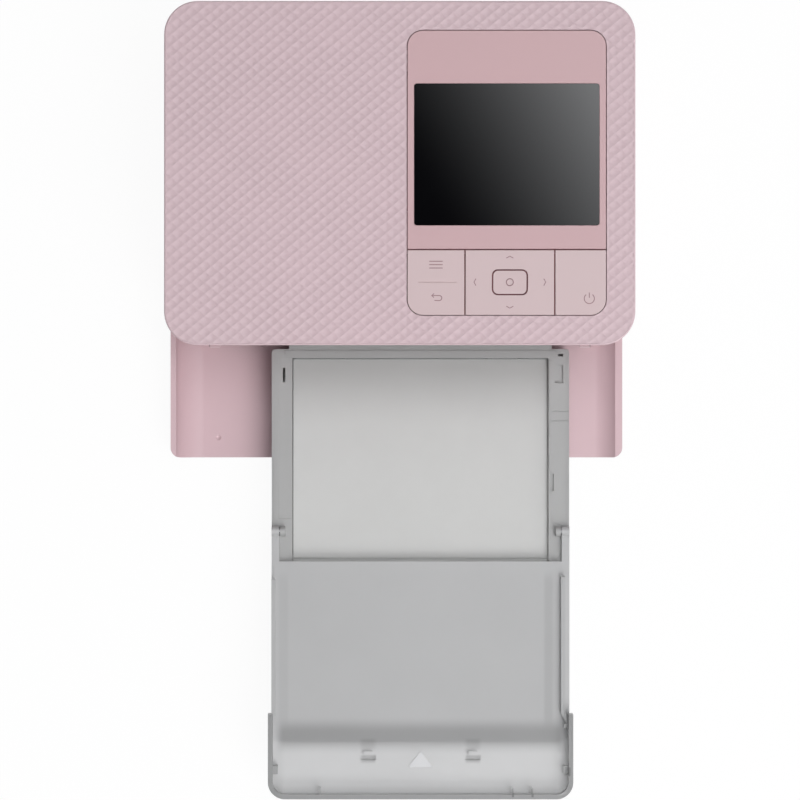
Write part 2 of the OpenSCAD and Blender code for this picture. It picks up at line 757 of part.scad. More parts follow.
module motor_bracket() {
    color(steel) at_front() {
        difference() {
            along_x(bracket_x, plate_t) translate([46, 8]) square([72, 40]);
            for (a = [motor_at, ribbon_motor_at]) bore_along_x(bracket_x, plate_t, a, 3.4);
            bore_along_x(bracket_x, plate_t, takeup_at, shaft_r + run_gap);
        }
        for (a = stand_off_at)
            rod(bracket_x + plate_t - eps, chassis_x - plate_t - bracket_x - plate_t + eps, a, 2);
    }
}

module motor(at, r, l) {
    rod(bracket_x - l, l, at, r);
    rod(bracket_x - eps, 0.8, at, 3.2);
    for (s = [-1, 1]) rod(bracket_x - 1, 1, [at[0], at[1] + s * r], 2.2);
}

module motor_bore(at) {
    bore_along_x(bracket_x - 6, 10, at, 1.2 + run_gap);
}

module feed_motor() {
    color(dark) at_front() difference() {
        motor(motor_at, 10.5, 15);
        motor_bore(motor_at);
    }
}

module ribbon_motor() {
    color(dark) at_front() difference() {
        motor(ribbon_motor_at, 8, 13);
        motor_bore(ribbon_motor_at);
    }
}

// ---- Rollers and gears

// Shaft between the chassis plates, with or without a gear on its left end
module roller_shaft(at, geared) {
    x = geared ? gear_x - shaft_end : chassis_x - plate_t - 0.2;
    rod(x, chassis_x + chassis_w + plate_t + shaft_end - x, at, shaft_r);
}

module sleeve(at, r, l) {
    rod(feed_x - l / 2, l, at, r);
}

module motor_pinion() {
    color(pale) at_front() {
        gear(n_pinion, gear_x, motor_at, motor_phase);
        rod(bracket_x - 5, gear_x - bracket_x + 5 + eps, motor_at, 1.2);
    }
}

module ribbon_pinion() {
    color(pale) at_front() {
        gear(n_pinion, ribbon_gear_x, ribbon_motor_at, 0);
        rod(bracket_x - 5, ribbon_gear_x - bracket_x + 5 + eps, ribbon_motor_at, 1.2);
    }
}

module capstan_roller() {
    color(steel) at_front() {
        roller_shaft(capstan_at, true);
        sleeve(capstan_at, capstan_r, sleeve_l);
        gear(n_capstan, gear_x, capstan_at, capstan_phase);
    }
}

module pinch_roller() {
    color(rubber) at_front() {
        roller_shaft(pinch_at, false);
        sleeve(pinch_at, pinch_r, sleeve_l);
    }
}

// Idler on a stub axle that is riveted into the left plate
module idler(n, at, phase) {
    difference() {
        gear(n, gear_x, at, phase);
        bore_along_x(gear_x, gear_w, at, stud_r + run_gap);
    }
}

module link_gear() {
    color(pale) at_front() idler(n_link, link_at, link_phase);
}

module idler_rear() {
    color(pale) at_front() idler(n_idler, idler_rear_at, idler_rear_phase);
}

module idler_front() {
    color(pale) at_front() idler(n_idler, idler_front_at, idler_front_phase);
}

module platen_roller() {
    color(rubber) at_front() {
        roller_shaft(platen_at, true);
        sleeve(platen_at, platen_r, sleeve_l);
        gear(n_roller, gear_x, platen_at, platen_phase);
    }
}

module pickup_roller() {
    color(rubber) at_front() {
        roller_shaft(pickup_at, true);
        for (s = [-1, 1]) rod(feed_x + s * 14 - 5, 10, pickup_at, pickup_r);
        rod(feed_x - 20, 40, pickup_at, 3.4);
        gear(n_roller, gear_x, pickup_at, pickup_phase);
    }
}

// ---- Thermal head

module thermal_head() {
    color(dark) at_front() difference() {
        union() {
            translate([feed_x - head_w / 2, head_y - 7.4, head_top]) cube([head_w, 52, 2]);
            for (s = [-1, 1]) along_x(feed_x + s * (head_w / 2 - 2) - 2, 4) {
                translate(head_pivot_at) circle(3.4);
                translate([head_pivot_at[0] - 3.4, head_pivot_at[1]]) square([6.8, 3.2]);
            }
            for (s = [-1, 1]) translate([feed_x + s * (head_w / 2 - 3) - 3, head_y - 6, path_z + 5 - eps])
                cube([6, 12, head_top - path_z - 5 + 2 * eps]);
            translate([feed_x - head_w / 2, head_y - 6, path_z + 2]) cube([head_w, 12, 3]);
            // Raised line of heaters
            rod(feed_x - head_w / 2, head_w, [head_y, path_z + 2], 1.2);
        }
        bore_along_x(feed_x - head_w / 2 - 1, head_w + 2, head_pivot_at, shaft_r + run_gap);
    }
}

module heat_sink() {
    color(steel) at_front() {
        translate([feed_x - head_w / 2 + 7, head_y - 6, path_z + 5]) cube([head_w - 14, 12, 3]);
        for (i = [0:3]) translate([feed_x - head_w / 2 + 7, head_y - 6 + 3.6 * i, path_z + 8 - eps])
            cube([head_w - 14, 1.2, head_top - path_z - 8]);
    }
}

module head_pivot_shaft() {
    color(steel) at_front() rod(chassis_x - plate_t - shaft_end, chassis_w + 2 * (plate_t + shaft_end), head_pivot_at, shaft_r);
}

// ---- Ink cassette and its drive

module takeup_spindle() {
    color(pale) at_front() {
        rod(bracket_x - shaft_end, chassis_x - bracket_x + shaft_end + 0.4, takeup_at, shaft_r);
        gear(n_roller, ribbon_gear_x, takeup_at, takeup_phase);
        spline(takeup_at);
    }
}

// Drive hub with six ribs that enters the end of a spool
module spline(at) {
    rod(chassis_x + 0.3, hub_l, at, 2.3);
    translate([chassis_x + 0.3, at[0], at[1]]) rotate([90, 0, 90]) linear_extrude(hub_l)
        for (i = [0:2]) rotate(60 * i) square([5.4, 0.8], center = true);
}

module supply_hub() {
    color(pale) at_front() {
        rod(chassis_x - plate_t - shaft_end, plate_t + shaft_end + 0.4, supply_at, shaft_r);
        spline(supply_at);
    }
}

module housing(at) {
    along_x(ink_x, ink_l) difference() {
        translate(at) circle(spool_r);
        translate(at) circle(spool_r - ink_wall);
        translate([at[0] - 5, at[1] - spool_r - 1]) square([10, 4]);
    }
}

module ink_cassette_shell() {
    color(pale) at_front() difference() {
        union() {
            housing(supply_at);
            housing(takeup_at);
            // End plates that join the two housings
            for (x = [ink_x, ink_x + ink_l - 2]) along_x(x, 2) {
                for (a = [supply_at, takeup_at]) translate(a) circle(spool_r);
                translate([supply_at[0], spool_z - spool_r + 4]) square([spool_gap, 2 * spool_r - 6]);
            }
            translate([feed_x + head_w / 2 + 4, supply_at[0] + spool_r - 0.6, spool_z - 5])
                cube([ink_x + ink_l - feed_x - head_w / 2 - 5, spool_gap - 2 * spool_r + 1.2, 2]);
            // Grip at the outer end
            translate([ink_x + ink_l - 1, head_y - 6, spool_z - 4]) cube([2.2, 12, 8]);
        }
        for (a = [supply_at, takeup_at]) bore_along_x(ink_x, 2, a, spool_bore + 1.9);
        for (a = [supply_at, takeup_at]) bore_along_x(ink_x + ink_l - 2, 2, a, 2 + run_gap);
    }
}

module spool(at, wound) {
    x1 = ink_x + ink_l;
    difference() {
        union() {
            rod(ink_x + 0.4, ink_l - 6, at, 4.4);
            rod(feed_x - film_w / 2 - 0.5, film_w + 1, at, wound);
            for (s = [-1, 1]) rod(feed_x + s * (film_w / 2 + 1.1) - 0.6, 1.2, at, spool_r - ink_wall - 0.5);
            rod(x1 - 6, 6.6, at, 2);
        }
        bore_along_x(ink_x + 0.3, hub_l + 2, at, spool_bore);
    }
}

module takeup_spool() {
    color(pale) at_front() spool(takeup_at, 5.2);
}

module supply_spool() {
    color(pale) at_front() spool(supply_at, 7.4);
}

// Film from spool to spool, under the heater line
module ink_ribbon() {
    film = 0.3;
    color(dark) at_front() along_x(feed_x - film_w / 2, film_w) {
        translate([supply_at[0], path_z + 0.35]) square([spool_gap, film]);
        for (a = [supply_at, takeup_at]) translate([a[0] - film / 2, path_z + 0.35])
            square([film, spool_z - 8.6 - path_z]);
    }
}

module lock_lever() {
    color(pale) at_front() difference() {
        along_x(lever_x, 2.1) {
            translate(lever_at) circle(3.4);
            translate([lever_at[0] - 9, lever_at[1] - 1.6]) square([9, 3.2]);
            translate([lever_at[0] - 9, lever_at[1] - 6]) square([2.4, 7.6]);
            translate([lever_at[0] - 1.6, lever_at[1]]) square([3.2, 8]);
        }
        bore_along_x(lever_x, 2.1, lever_at, pin_r + run_gap);
    }
}

module lock_lever_pin() {
    color(steel) at_front() {
        rod(lever_x - 0.5, body_w / 2 - wall - lever_x + 0.5, lever_at, pin_r);
        rod(lever_x - 1.1, 0.8, lever_at, 2);
    }
}

// ---- Sockets

module dc_jack() {
    color(dark) at_front() difference() {
        translate([jack_x - 4.5, body_d - wall - 11, jack_z - 5]) cube([9, 11, 10]);
        translate([jack_x, body_d, jack_z]) rotate([90, 0, 0]) difference() {
            cylinder(r = 2.9, h = 11);
            cylinder(r = 0.8, h = 12);
        }
    }
}

module usb_socket() {
    color(steel) at_front() difference() {
        translate([body_w / 2 - wall - 7.5, usb_y, usb_z]) cube([7.5, usb_t, usb_h]);
        translate([body_w / 2 - wall - 6.5, usb_y + 0.4, usb_z + 0.4]) difference() {
            cube([8, usb_t - 0.8, usb_h - 0.8]);
            translate([-1, (usb_t - 0.8) / 2 - 0.35, 1]) cube([6, 0.7, usb_h - 2.8]);
        }
    }
}

module card_socket() {
    x = chassis_x + chassis_w + plate_t + 2.2;
    w = body_w / 2 - wall - x;
    color(steel) at_front() difference() {
        translate([x, card_y - 0.5, card_z - 0.8]) cube([w, card_t + 1, card_h + 1.6]);
        translate([x + 1, card_y, card_z]) cube([w, card_t, card_h]);
    }
}

module feet() {
    color(rubber) at_front() for (p = foot_at) translate([p[0], p[1], 0]) {
        cylinder(r = foot_r, h = foot_h + 0.8);
    }
}

module case_screws() {
    color(steel) at_front() for (p = screw_at) translate([p[0], p[1], foot_h + 0.2]) difference() {
        union() {
            cylinder(r = 2.6, h = 0.8);
            cylinder(r = 1.3, h = 9);
        }
        for (a = [0, 90]) rotate(a) translate([-1.4, -0.25, -eps]) cube([2.8, 0.5, 0.5]);
    }
}

// ---- Paper cassette; here y is negative in front of the body

// Open box whose far corners are rounded
module tray_box(x, w, y0, y1, h, r) {
    difference() {
        translate([x, y0, tray_z]) linear_extrude(h) two_radii(w, y1 - y0, r, 0.5);
        translate([x + tray_wall, y0 + tray_wall, tray_z + tray_wall]) linear_extrude(h)
            two_radii(w - 2 * tray_wall, y1 - y0 - 2 * tray_wall, max(r - tray_wall, 0.5), 0.5);
    }
}

module cassette_tray() {
    color(smoke) at_front() difference() {
        union() {
            tray_box(tray_x, tray_w, -tray_l, -1.1, wall_top - tray_z, tray_r);
            tray_box(neck_x, neck_w, -1.1 - eps, neck_l, deck_z - lid_t - tray_z, 0.5);
        }
        // One long well for the paper, and a low lip where sheets leave
        translate([neck_x + tray_wall, -tray_l + tray_r, tray_z + tray_wall])
            cube([neck_w - 2 * tray_wall, tray_l - tray_r + neck_l - tray_wall, 40]);
        translate([neck_x + 8, neck_l - tray_wall - 1, tray_z + 6]) cube([neck_w - 16, 4, 40]);
        // Grip recess under the far end
        translate([feed_x - 16, -tray_l - 1, tray_z - 1]) cube([32, 3, 4]);
    }
}

// Rails and the broad rail across their far ends
module rail_plan() {
    difference() {
        translate([tray_x, -tray_l]) two_radii(tray_w, tray_l - 1.2, tray_r, 1.6);
        translate([tray_x + rail_w, -tray_l + 7]) square([tray_w - 2 * rail_w, tray_l]);
    }
}

module cassette_frame() {
    right = tray_x + tray_w;
    color(smoke) at_front() difference() {
        union() {
            translate([0, 0, wall_top]) linear_extrude(rail_t) rail_plan();
            translate([tray_x + 2, -tray_l + 2, deck_z - lid_t])
                cube([tray_w - 4, tray_l - 2 - lid_end - hinge_slot, lid_t]);
            translate([neck_x, -1.1 - eps, deck_z - lid_t]) cube([neck_w, bridge_l + 1.1, lid_t]);
            translate([tray_x + 2, -lid_front, deck_z - lid_t]) cube([tray_w - 4, lid_front - 1.1, lid_t]);
            // Raised shoulder in front of the mouth
            translate([0, 0, deck_z - eps]) linear_extrude(bead_h) polygon([
                [tray_x + 5.2, -1.6], [tray_x + 5.2, -3.6], [tray_x + 7.6, -lid_front],
                [right - 7.6, -lid_front], [right - 5.2, -3.6], [right - 5.2, -1.6]]);
            // Broken bead along the right rail
            for (b = [[-25.6, 20], [-35.9, 6.3], [-49.8, 6.4]])
                translate([right - rail_w + 0.3, b[0], deck_z - eps]) cube([1.4, b[1], bead_h]);
            // Pivot ears of the outer cover
            for (x = [tray_x + 3.4, right - 5.4])
                translate([x, -pivot_y - 2, deck_z - 1]) {
                    cube([2, 4, pivot_z - deck_z + 1]);
                    translate([0, 2, pivot_z - deck_z + 1]) rotate([0, 90, 0]) cylinder(r = 2, h = 2);
                }
        }
        for (x = [tray_x + 3.4, right - 5.4])
            bore_along_x(x, 2, [-pivot_y, pivot_z], pin_r);
        // Room for the arms' barrels
        for (x = [tray_x - 1, right - 3.4])
            rod(x, 4.4, [-pivot_y, pivot_z], arm_r + 0.35);
        // Step along the left rail, and the slots of the rails
        translate([tray_x + 2.8, 5 - pivot_y, deck_z - bead_h]) cube([rail_w, pivot_y - 5 - lid_front, 1]);
        translate([tray_x + 4.4, -14.1, wall_top - 1]) cube([1, 5.5, 10]);
        translate([right - 5.6, -14.5, deck_z - 1]) cube([3.2, 7.1, 10]);
        translate([right - 4.4, -4, wall_top - 1]) cube([2, 1, 10]);
        translate([right - rail_w + 0.5, -57.3, deck_z - 1]) cube([1.6, 6.8, 10]);
        for (y = [-25.9, -29.6]) translate([right - rail_w + 1.7, y, deck_z - bead_h]) cube([rail_w, 0.4, 1]);
        // Seats of the inner lid's trunnions
        for (x = [tray_x + rail_w - 2, right - rail_w])
            bore_along_x(x, 2, lid_axis, 0.7 + run_gap);
    }
}

module inner_lid() {
    color(smoke) at_front() {
        translate([lid_x, lid_axis[0], lid_z]) cube([lid_w, -lid_front - seam - lid_axis[0], lid_t]);
        rod(lid_x, lid_w, lid_axis, lid_t / 2);
        rod(lid_x - seam - 1.7, lid_w + 2 * seam + 3.4, lid_axis, 0.7);
        // Long stiffening ribs underneath
        for (x = [lid_x + 4, lid_x + lid_w - 5.2])
            translate([x, lid_axis[0] + 6, lid_z - 0.8]) cube([1.2, -lid_axis[0] - 14, 0.9]);
    }
}

// Seen from above as folded back: the skirt stands up round the far end
module outer_cover() {
    sx = feed_x - skirt_w / 2;
    skirt_y = -cover_end;
    skirt_top = skirt_y + skirt_l;
    right = tray_x + tray_w;
    arm_w = 3;
    color(smoke) at_front() difference() {
        union() {
            translate([tray_x, skirt_top - 1, leaf_z]) cube([tray_w, 1 - lid_end - skirt_top, leaf_t]);
            translate([sx, skirt_y, leaf_z]) linear_extrude(leaf_t) skirt_plan(0);
            translate([sx, skirt_y, leaf_z]) linear_extrude(skirt_h) difference() {
                skirt_plan(0);
                skirt_plan(cover_wall);
            }
            // Side flanges; the right one stands inwards and bends out to meet the skirt
            translate([0, 0, leaf_z]) linear_extrude(leaf_t + flange_h) {
                translate([tray_x, skirt_top - 1]) square([1.6, -lid_end - 6 - skirt_top]);
                translate([right - 3.4, skirt_top]) square([1.7, -lid_end - 6 - skirt_top]);
                polygon([[right - 3.4, skirt_top + eps], [right - 1.7, skirt_top + eps],
                    [right + 0.4, skirt_top - 4], [right - 1.2, skirt_top - 4]]);
            }
            // Square tabs, short ribs and hooks inside the skirt
            for (x = [sx + cover_wall - eps, sx + skirt_w - cover_wall - 2])
                translate([x, skirt_y + 9.7, leaf_z]) cube([2 + eps, 3.3, skirt_h - 1.5]);
            translate([sx + skirt_w - cover_wall - 1.8, skirt_top - 5.4, leaf_z]) cube([2, 1.5, skirt_h - 3]);
            for (x = [20.4, 96.2, 103.8])
                translate([sx + x - 0.4, skirt_y + 1, leaf_z]) cube([0.8, 3.4, skirt_h - 2]);
            for (s = [-1, 1]) translate([feed_x + 20.7 * s - 1.8, skirt_y + 17, leaf_z]) cube([3.6, 1.4, leaf_t + 1.2]);
            // Raised triangle that shows which way the cassette goes in
            translate([0, 0, leaf_z]) linear_extrude(leaf_t + 0.2) polygon([[feed_x - 5, skirt_y + 11.9],
                [feed_x + 5, skirt_y + 11.9], [feed_x, skirt_y + 18.4]]);
            // Arms out to the pivot
            for (x = [tray_x, right - arm_w]) {
                translate([x, -lid_end - 2, leaf_z]) cube([arm_w, lid_end - pivot_y + 2, leaf_t]);
                rod(x, arm_w, [-pivot_y, pivot_z], arm_r);
            }
        }
        for (x = [tray_x, right - arm_w])
            bore_along_x(x, arm_w, [-pivot_y, pivot_z], pin_r + run_gap);
        // Pockets in front of the hooks
        for (s = [-1, 1]) translate([feed_x + 20.7 * s - 3, skirt_y + 14.8, leaf_z + leaf_t - 0.8])
            cube([6, 2, 4]);
    }
}

// Outline of the skirted end: round far corners, open towards the pivot
module skirt_plan(inset) {
    difference() {
        translate([inset, inset]) two_radii(skirt_w - 2 * inset, skirt_l + 20, 6.6 - inset, 1);
        translate([-1, skirt_l]) square([skirt_w + 2, 40]);
    }
}

module outer_cover_pins() {
    color(steel) at_front() {
        rod(tray_x + 0.6, 4.6, [-pivot_y, pivot_z], pin_r);
        rod(tray_x + tray_w - 5.2, 4.6, [-pivot_y, pivot_z], pin_r);
    }
}

module lift_plate() {
    x = feed_x - lift_w / 2;
    z = tray_z + tray_wall + 0.7;
    color(steel) at_front() {
        translate([x, lift_axis_y, z]) cube([lift_w, neck_l - tray_wall - 0.6 - lift_axis_y, 0.8]);
        rod(x, lift_w, [lift_axis_y, z + 0.4], 0.9);
    }
}

module paper_guide() {
    color(smoke) at_front() {
        for (s = [-1, 1]) translate([feed_x + s * 49.4 - 0.6, -60, tray_z + tray_wall]) cube([1.2, 30, 6]);
        translate([feed_x - 20, -120, tray_z + tray_wall]) cube([40, 1.6, 6]);
    }
}

base_case();
side_case();
top_cover();
front_panel();
front_cover();
cover_hinge_pins();
ink_door();
door_pins();
display_bezel();
display_glass();
lcd_module();
menu_button();
nav_pivot();
nav_pad();
ok_button();
power_button();
button_board();
main_board();
chassis_left();
chassis_right();
chassis_brace();
motor_bracket();
feed_motor();
motor_pinion();
capstan_roller();
pinch_roller();
link_gear();
platen_roller();
idler_rear();
idler_front();
pickup_roller();
thermal_head();
heat_sink();
head_pivot_shaft();
ribbon_motor();
ribbon_pinion();
takeup_spindle();
supply_hub();
ink_cassette_shell();
takeup_spool();
supply_spool();
ink_ribbon();
lock_lever();
lock_lever_pin();
dc_jack();
usb_socket();
card_socket();
feet();
case_screws();
cassette_tray();
cassette_frame();
inner_lid();
outer_cover();
outer_cover_pins();
lift_plate();
paper_guide();
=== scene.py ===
# Compact photo printer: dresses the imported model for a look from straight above.
# Everything is in metres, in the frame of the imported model.
import json
import math

import bmesh
import bpy
from mathutils import Matrix, Vector


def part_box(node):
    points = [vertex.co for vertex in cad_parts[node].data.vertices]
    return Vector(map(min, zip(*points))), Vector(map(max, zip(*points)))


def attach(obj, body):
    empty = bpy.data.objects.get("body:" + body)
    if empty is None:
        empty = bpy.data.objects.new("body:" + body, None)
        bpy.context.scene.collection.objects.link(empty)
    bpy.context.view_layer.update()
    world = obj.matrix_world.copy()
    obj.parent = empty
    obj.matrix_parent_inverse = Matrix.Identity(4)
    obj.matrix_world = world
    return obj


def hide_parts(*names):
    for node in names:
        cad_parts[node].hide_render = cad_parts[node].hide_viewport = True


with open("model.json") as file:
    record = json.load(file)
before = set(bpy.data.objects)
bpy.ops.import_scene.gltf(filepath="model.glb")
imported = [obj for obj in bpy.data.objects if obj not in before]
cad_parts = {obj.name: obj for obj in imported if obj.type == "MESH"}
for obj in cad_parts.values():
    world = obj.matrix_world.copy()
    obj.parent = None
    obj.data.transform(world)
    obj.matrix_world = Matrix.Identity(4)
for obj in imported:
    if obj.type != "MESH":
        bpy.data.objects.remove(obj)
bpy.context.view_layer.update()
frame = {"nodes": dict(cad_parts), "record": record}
print("frame loaded")

mm = 0.001


# Colours, given as they look on a screen, 0 to 255

def linear(c):
    return ((c / 255 + 0.055) / 1.055) ** 2.4 if c > 10 else c / 255 / 12.92


def shade(r, g, b):
    return (linear(r), linear(g), linear(b), 1.0)


# Shader node groups, each built once

grainLook = {
    "clouds": 38.0, "cloudGloss": (0.92, 1.1),
    "streaks": (0.05, 1.0, 1.0), "streakTone": (0.92, 1.06), "streakGloss": (0.8, 1.25),
    "dustPatches": 180.0, "dustCover": (0.2, 1.0), "bump": 0.6,
}


def startGroup(name, inputs, outputs):
    group = bpy.data.node_groups.new(name, "ShaderNodeTree")
    for label, kind, value in inputs:
        sock = group.interface.new_socket(label, in_out="INPUT", socket_type=kind)
        sock.default_value = value
    for label, kind in outputs:
        group.interface.new_socket(label, in_out="OUTPUT", socket_type=kind)
    return group, group.nodes.new("NodeGroupInput"), group.nodes.new("NodeGroupOutput")


def addNoise(group, where, scaleFrom, detail, stretch=None):
    noise = group.nodes.new("ShaderNodeTexNoise")
    noise.inputs["Detail"].default_value = detail
    if stretch:
        mapping = group.nodes.new("ShaderNodeMapping")
        mapping.inputs["Scale"].default_value = stretch
        group.links.new(where, mapping.inputs["Vector"])
        where = mapping.outputs["Vector"]
    group.links.new(where, noise.inputs["Vector"])
    group.links.new(scaleFrom, noise.inputs["Scale"])
    return noise.outputs["Fac"]


def spread(group, source, low, high):
    # Nearly all of a noise lies between 0.3 and 0.7
    node = group.nodes.new("ShaderNodeMapRange")
    node.inputs["From Min"].default_value = 0.3
    node.inputs["From Max"].default_value = 0.7
    group.links.new(source, node.inputs["Value"])
    for value, name in ((low, "To Min"), (high, "To Max")):
        if isinstance(value, (int, float)):
            node.inputs[name].default_value = value
        else:
            group.links.new(value, node.inputs[name])
    return node.outputs["Result"]


def tint(group, colour, factor):
    hue = group.nodes.new("ShaderNodeHueSaturation")
    group.links.new(colour, hue.inputs["Color"])
    group.links.new(factor, hue.inputs["Value"])
    return hue.outputs["Color"]


def lineMath(group, kind, a, b):
    node = group.nodes.new("ShaderNodeMath")
    node.operation = kind
    for value, sock in ((a, node.inputs[0]), (b, node.inputs[1])):
        if isinstance(value, (int, float)):
            sock.default_value = value
        else:
            group.links.new(value, sock)
    return node.outputs[0]


def fixedValue(group, value):
    node = group.nodes.new("ShaderNodeValue")
    node.outputs[0].default_value = value
    return node.outputs[0]


def rampNode(tree, source, start, end, low, high):
    node = tree.nodes.new("ShaderNodeMapRange")
    node.interpolation_type = "SMOOTHSTEP"
    for name, value in (("From Min", start), ("From Max", end), ("To Min", low), ("To Max", high)):
        node.inputs[name].default_value = value
    tree.links.new(source, node.inputs["Value"])
    return node.outputs["Result"]


def softBand(group, value, centre, half, soft):
    away = lineMath(group, "ABSOLUTE", lineMath(group, "SUBTRACT", value, centre), 0.0)
    return rampNode(group, away, half, half + soft, 1.0, 0.0)


def buildMouldGrain():
    # Fine spark-eroded skin of a moulding, with faint clouding of its gloss and colour
    group, given, out = startGroup(
        "MouldGrain",
        [("Color", "NodeSocketColor", (0.8, 0.8, 0.8, 1)), ("Roughness", "NodeSocketFloat", 0.4),
         ("GrainScale", "NodeSocketFloat", 2600.0), ("Mottle", "NodeSocketFloat", 0.02)],
        [("Color", "NodeSocketColor"), ("Roughness", "NodeSocketFloat"), ("Height", "NodeSocketFloat")])
    place = group.nodes.new("ShaderNodeTexCoord").outputs["Object"]
    grain = addNoise(group, place, given.outputs["GrainScale"], 3)
    cloud = addNoise(group, place, fixedValue(group, grainLook["clouds"]), 4)
    low = lineMath(group, "SUBTRACT", 1.0, given.outputs["Mottle"])
    high = lineMath(group, "ADD", 1.0, given.outputs["Mottle"])
    group.links.new(tint(group, given.outputs["Color"], spread(group, cloud, low, high)), out.inputs["Color"])
    cloudGloss = spread(group, cloud, *grainLook["cloudGloss"])
    gloss = lineMath(group, "MULTIPLY", given.outputs["Roughness"], cloudGloss)
    group.links.new(gloss, out.inputs["Roughness"])
    group.links.new(grain, out.inputs["Height"])
    return group


def buildBrushedGrain():
    # Long fine scratches of rolled or brushed metal
    group, given, out = startGroup(
        "BrushedGrain",
        [("Color", "NodeSocketColor", (0.6, 0.6, 0.6, 1)), ("Roughness", "NodeSocketFloat", 0.3),
         ("GrainScale", "NodeSocketFloat", 900.0)],
        [("Color", "NodeSocketColor"), ("Roughness", "NodeSocketFloat"), ("Height", "NodeSocketFloat")])
    place = group.nodes.new("ShaderNodeTexCoord").outputs["Object"]
    streak = addNoise(group, place, given.outputs["GrainScale"], 4, grainLook["streaks"])
    streakTone = spread(group, streak, *grainLook["streakTone"])
    group.links.new(tint(group, given.outputs["Color"], streakTone), out.inputs["Color"])
    streakGloss = spread(group, streak, *grainLook["streakGloss"])
    gloss = lineMath(group, "MULTIPLY", given.outputs["Roughness"], streakGloss)
    group.links.new(gloss, out.inputs["Roughness"])
    group.links.new(streak, out.inputs["Height"])
    return group


def buildDust():
    # Thin film of dust on faces that look up
    group, given, out = startGroup(
        "DustFilm",
        [("Color", "NodeSocketColor", (0.5, 0.5, 0.5, 1)), ("Roughness", "NodeSocketFloat", 0.3),
         ("Dust", "NodeSocketColor", shade(205, 200, 196)), ("Amount", "NodeSocketFloat", 0.08)],
        [("Color", "NodeSocketColor"), ("Roughness", "NodeSocketFloat")])
    place = group.nodes.new("ShaderNodeTexCoord").outputs["Object"]
    facing = group.nodes.new("ShaderNodeSeparateXYZ")
    group.links.new(group.nodes.new("ShaderNodeNewGeometry").outputs["Normal"], facing.inputs[0])
    noise = addNoise(group, place, fixedValue(group, grainLook["dustPatches"]), 6)
    patch = spread(group, noise, *grainLook["dustCover"])
    up = lineMath(group, "MAXIMUM", facing.outputs["Z"], 0.0)
    mask = lineMath(group, "MULTIPLY", lineMath(group, "MULTIPLY", up, patch), given.outputs["Amount"])
    mix = group.nodes.new("ShaderNodeMix")
    mix.data_type = "RGBA"
    group.links.new(mask, mix.inputs[0])
    group.links.new(given.outputs["Color"], mix.inputs[6])
    group.links.new(given.outputs["Dust"], mix.inputs[7])
    group.links.new(mix.outputs[2], out.inputs["Color"])
    group.links.new(lineMath(group, "ADD", given.outputs["Roughness"], mask), out.inputs["Roughness"])
    return group


# Painted shade and painted light on the smoky plastic. A rise is (from height, to height, amount), and a band
# gives centre, half width and soft edge in x and y. An amount above 0 darkens and one below 0 lightens.

coverPaintedLightShade = {
    # The rise is painted shade up the cover's tall walls, standing in for light lost through thick plastic
    "rise": (24 * mm, 28 * mm, 0.5),
    "bands": [
        # Bands above 0 are painted shade: the tray's end wall and rails under the cover, and a dark spot at a
        # tab. Bands below 0 are painted light at the cover's end.
        {"x": (8.2 * mm, 54 * mm, 4 * mm), "y": (-131.2 * mm, 1.2 * mm, 6.5 * mm), "amount": 0.34},
        {"x": (8.2 * mm, 53 * mm, 3 * mm), "y": (-144.2 * mm, 8 * mm, 3 * mm), "amount": -0.07},
        {"x": (58.8 * mm, 0.8 * mm, 1.6 * mm), "y": (-97 * mm, 26 * mm, 6 * mm), "amount": 0.12},
        {"x": (-46.0 * mm, 1.0 * mm, 1.6 * mm), "y": (-97 * mm, 26 * mm, 6 * mm), "amount": 0.07},
        {"x": (8.2 * mm, 54 * mm, 3 * mm), "y": (-152.2 * mm, 0.8 * mm, 2.4 * mm), "amount": -0.12},
        {"x": (64.2 * mm, 0.8 * mm, 2.2 * mm), "y": (-146 * mm, 7 * mm, 2 * mm), "amount": -0.12},
        {"x": (66.1 * mm, 1.0 * mm, 0.3 * mm), "y": (-144.9 * mm, 1.6 * mm, 0.3 * mm), "amount": 0.25},
    ],
    "hooksAt": (-12.5, 28.9),
    # Painted shadow beside each hook and painted shade in its pocket
    "hookShadows": [
        {"x": (1.6 * mm, 2.4 * mm), "y": (-134.6 * mm, 1.2 * mm, 1.6 * mm), "amount": 0.12},
        {"x": (2.0 * mm, 1.6 * mm), "y": (-140.5 * mm, 0.7 * mm, 1.4 * mm), "amount": 0.28},
    ],
    "slitsAt": (44.6, 52.3),
    # Painted shade in the two slits
    "slitShades": [{"x": (0.35 * mm, 0.2 * mm), "y": (-153.4 * mm, 1.4 * mm, 0.3 * mm), "amount": 0.3}],
}
# Painted shade: the lid darkens towards its back, under the body
lidPaintedShade = {
    "bands": [{"x": (8.2 * mm, 60 * mm, 4 * mm), "y": (17 * mm, 2 * mm, 26 * mm), "amount": 0.24}],
}


def repeated(places, bands):
    return [{**band, "x": (x * mm, *band["x"])} for x in places for band in bands]


coverPaintedLightShade["bands"] += repeated(coverPaintedLightShade["hooksAt"], coverPaintedLightShade["hookShadows"])
coverPaintedLightShade["bands"] += repeated(coverPaintedLightShade["slitsAt"], coverPaintedLightShade["slitShades"])


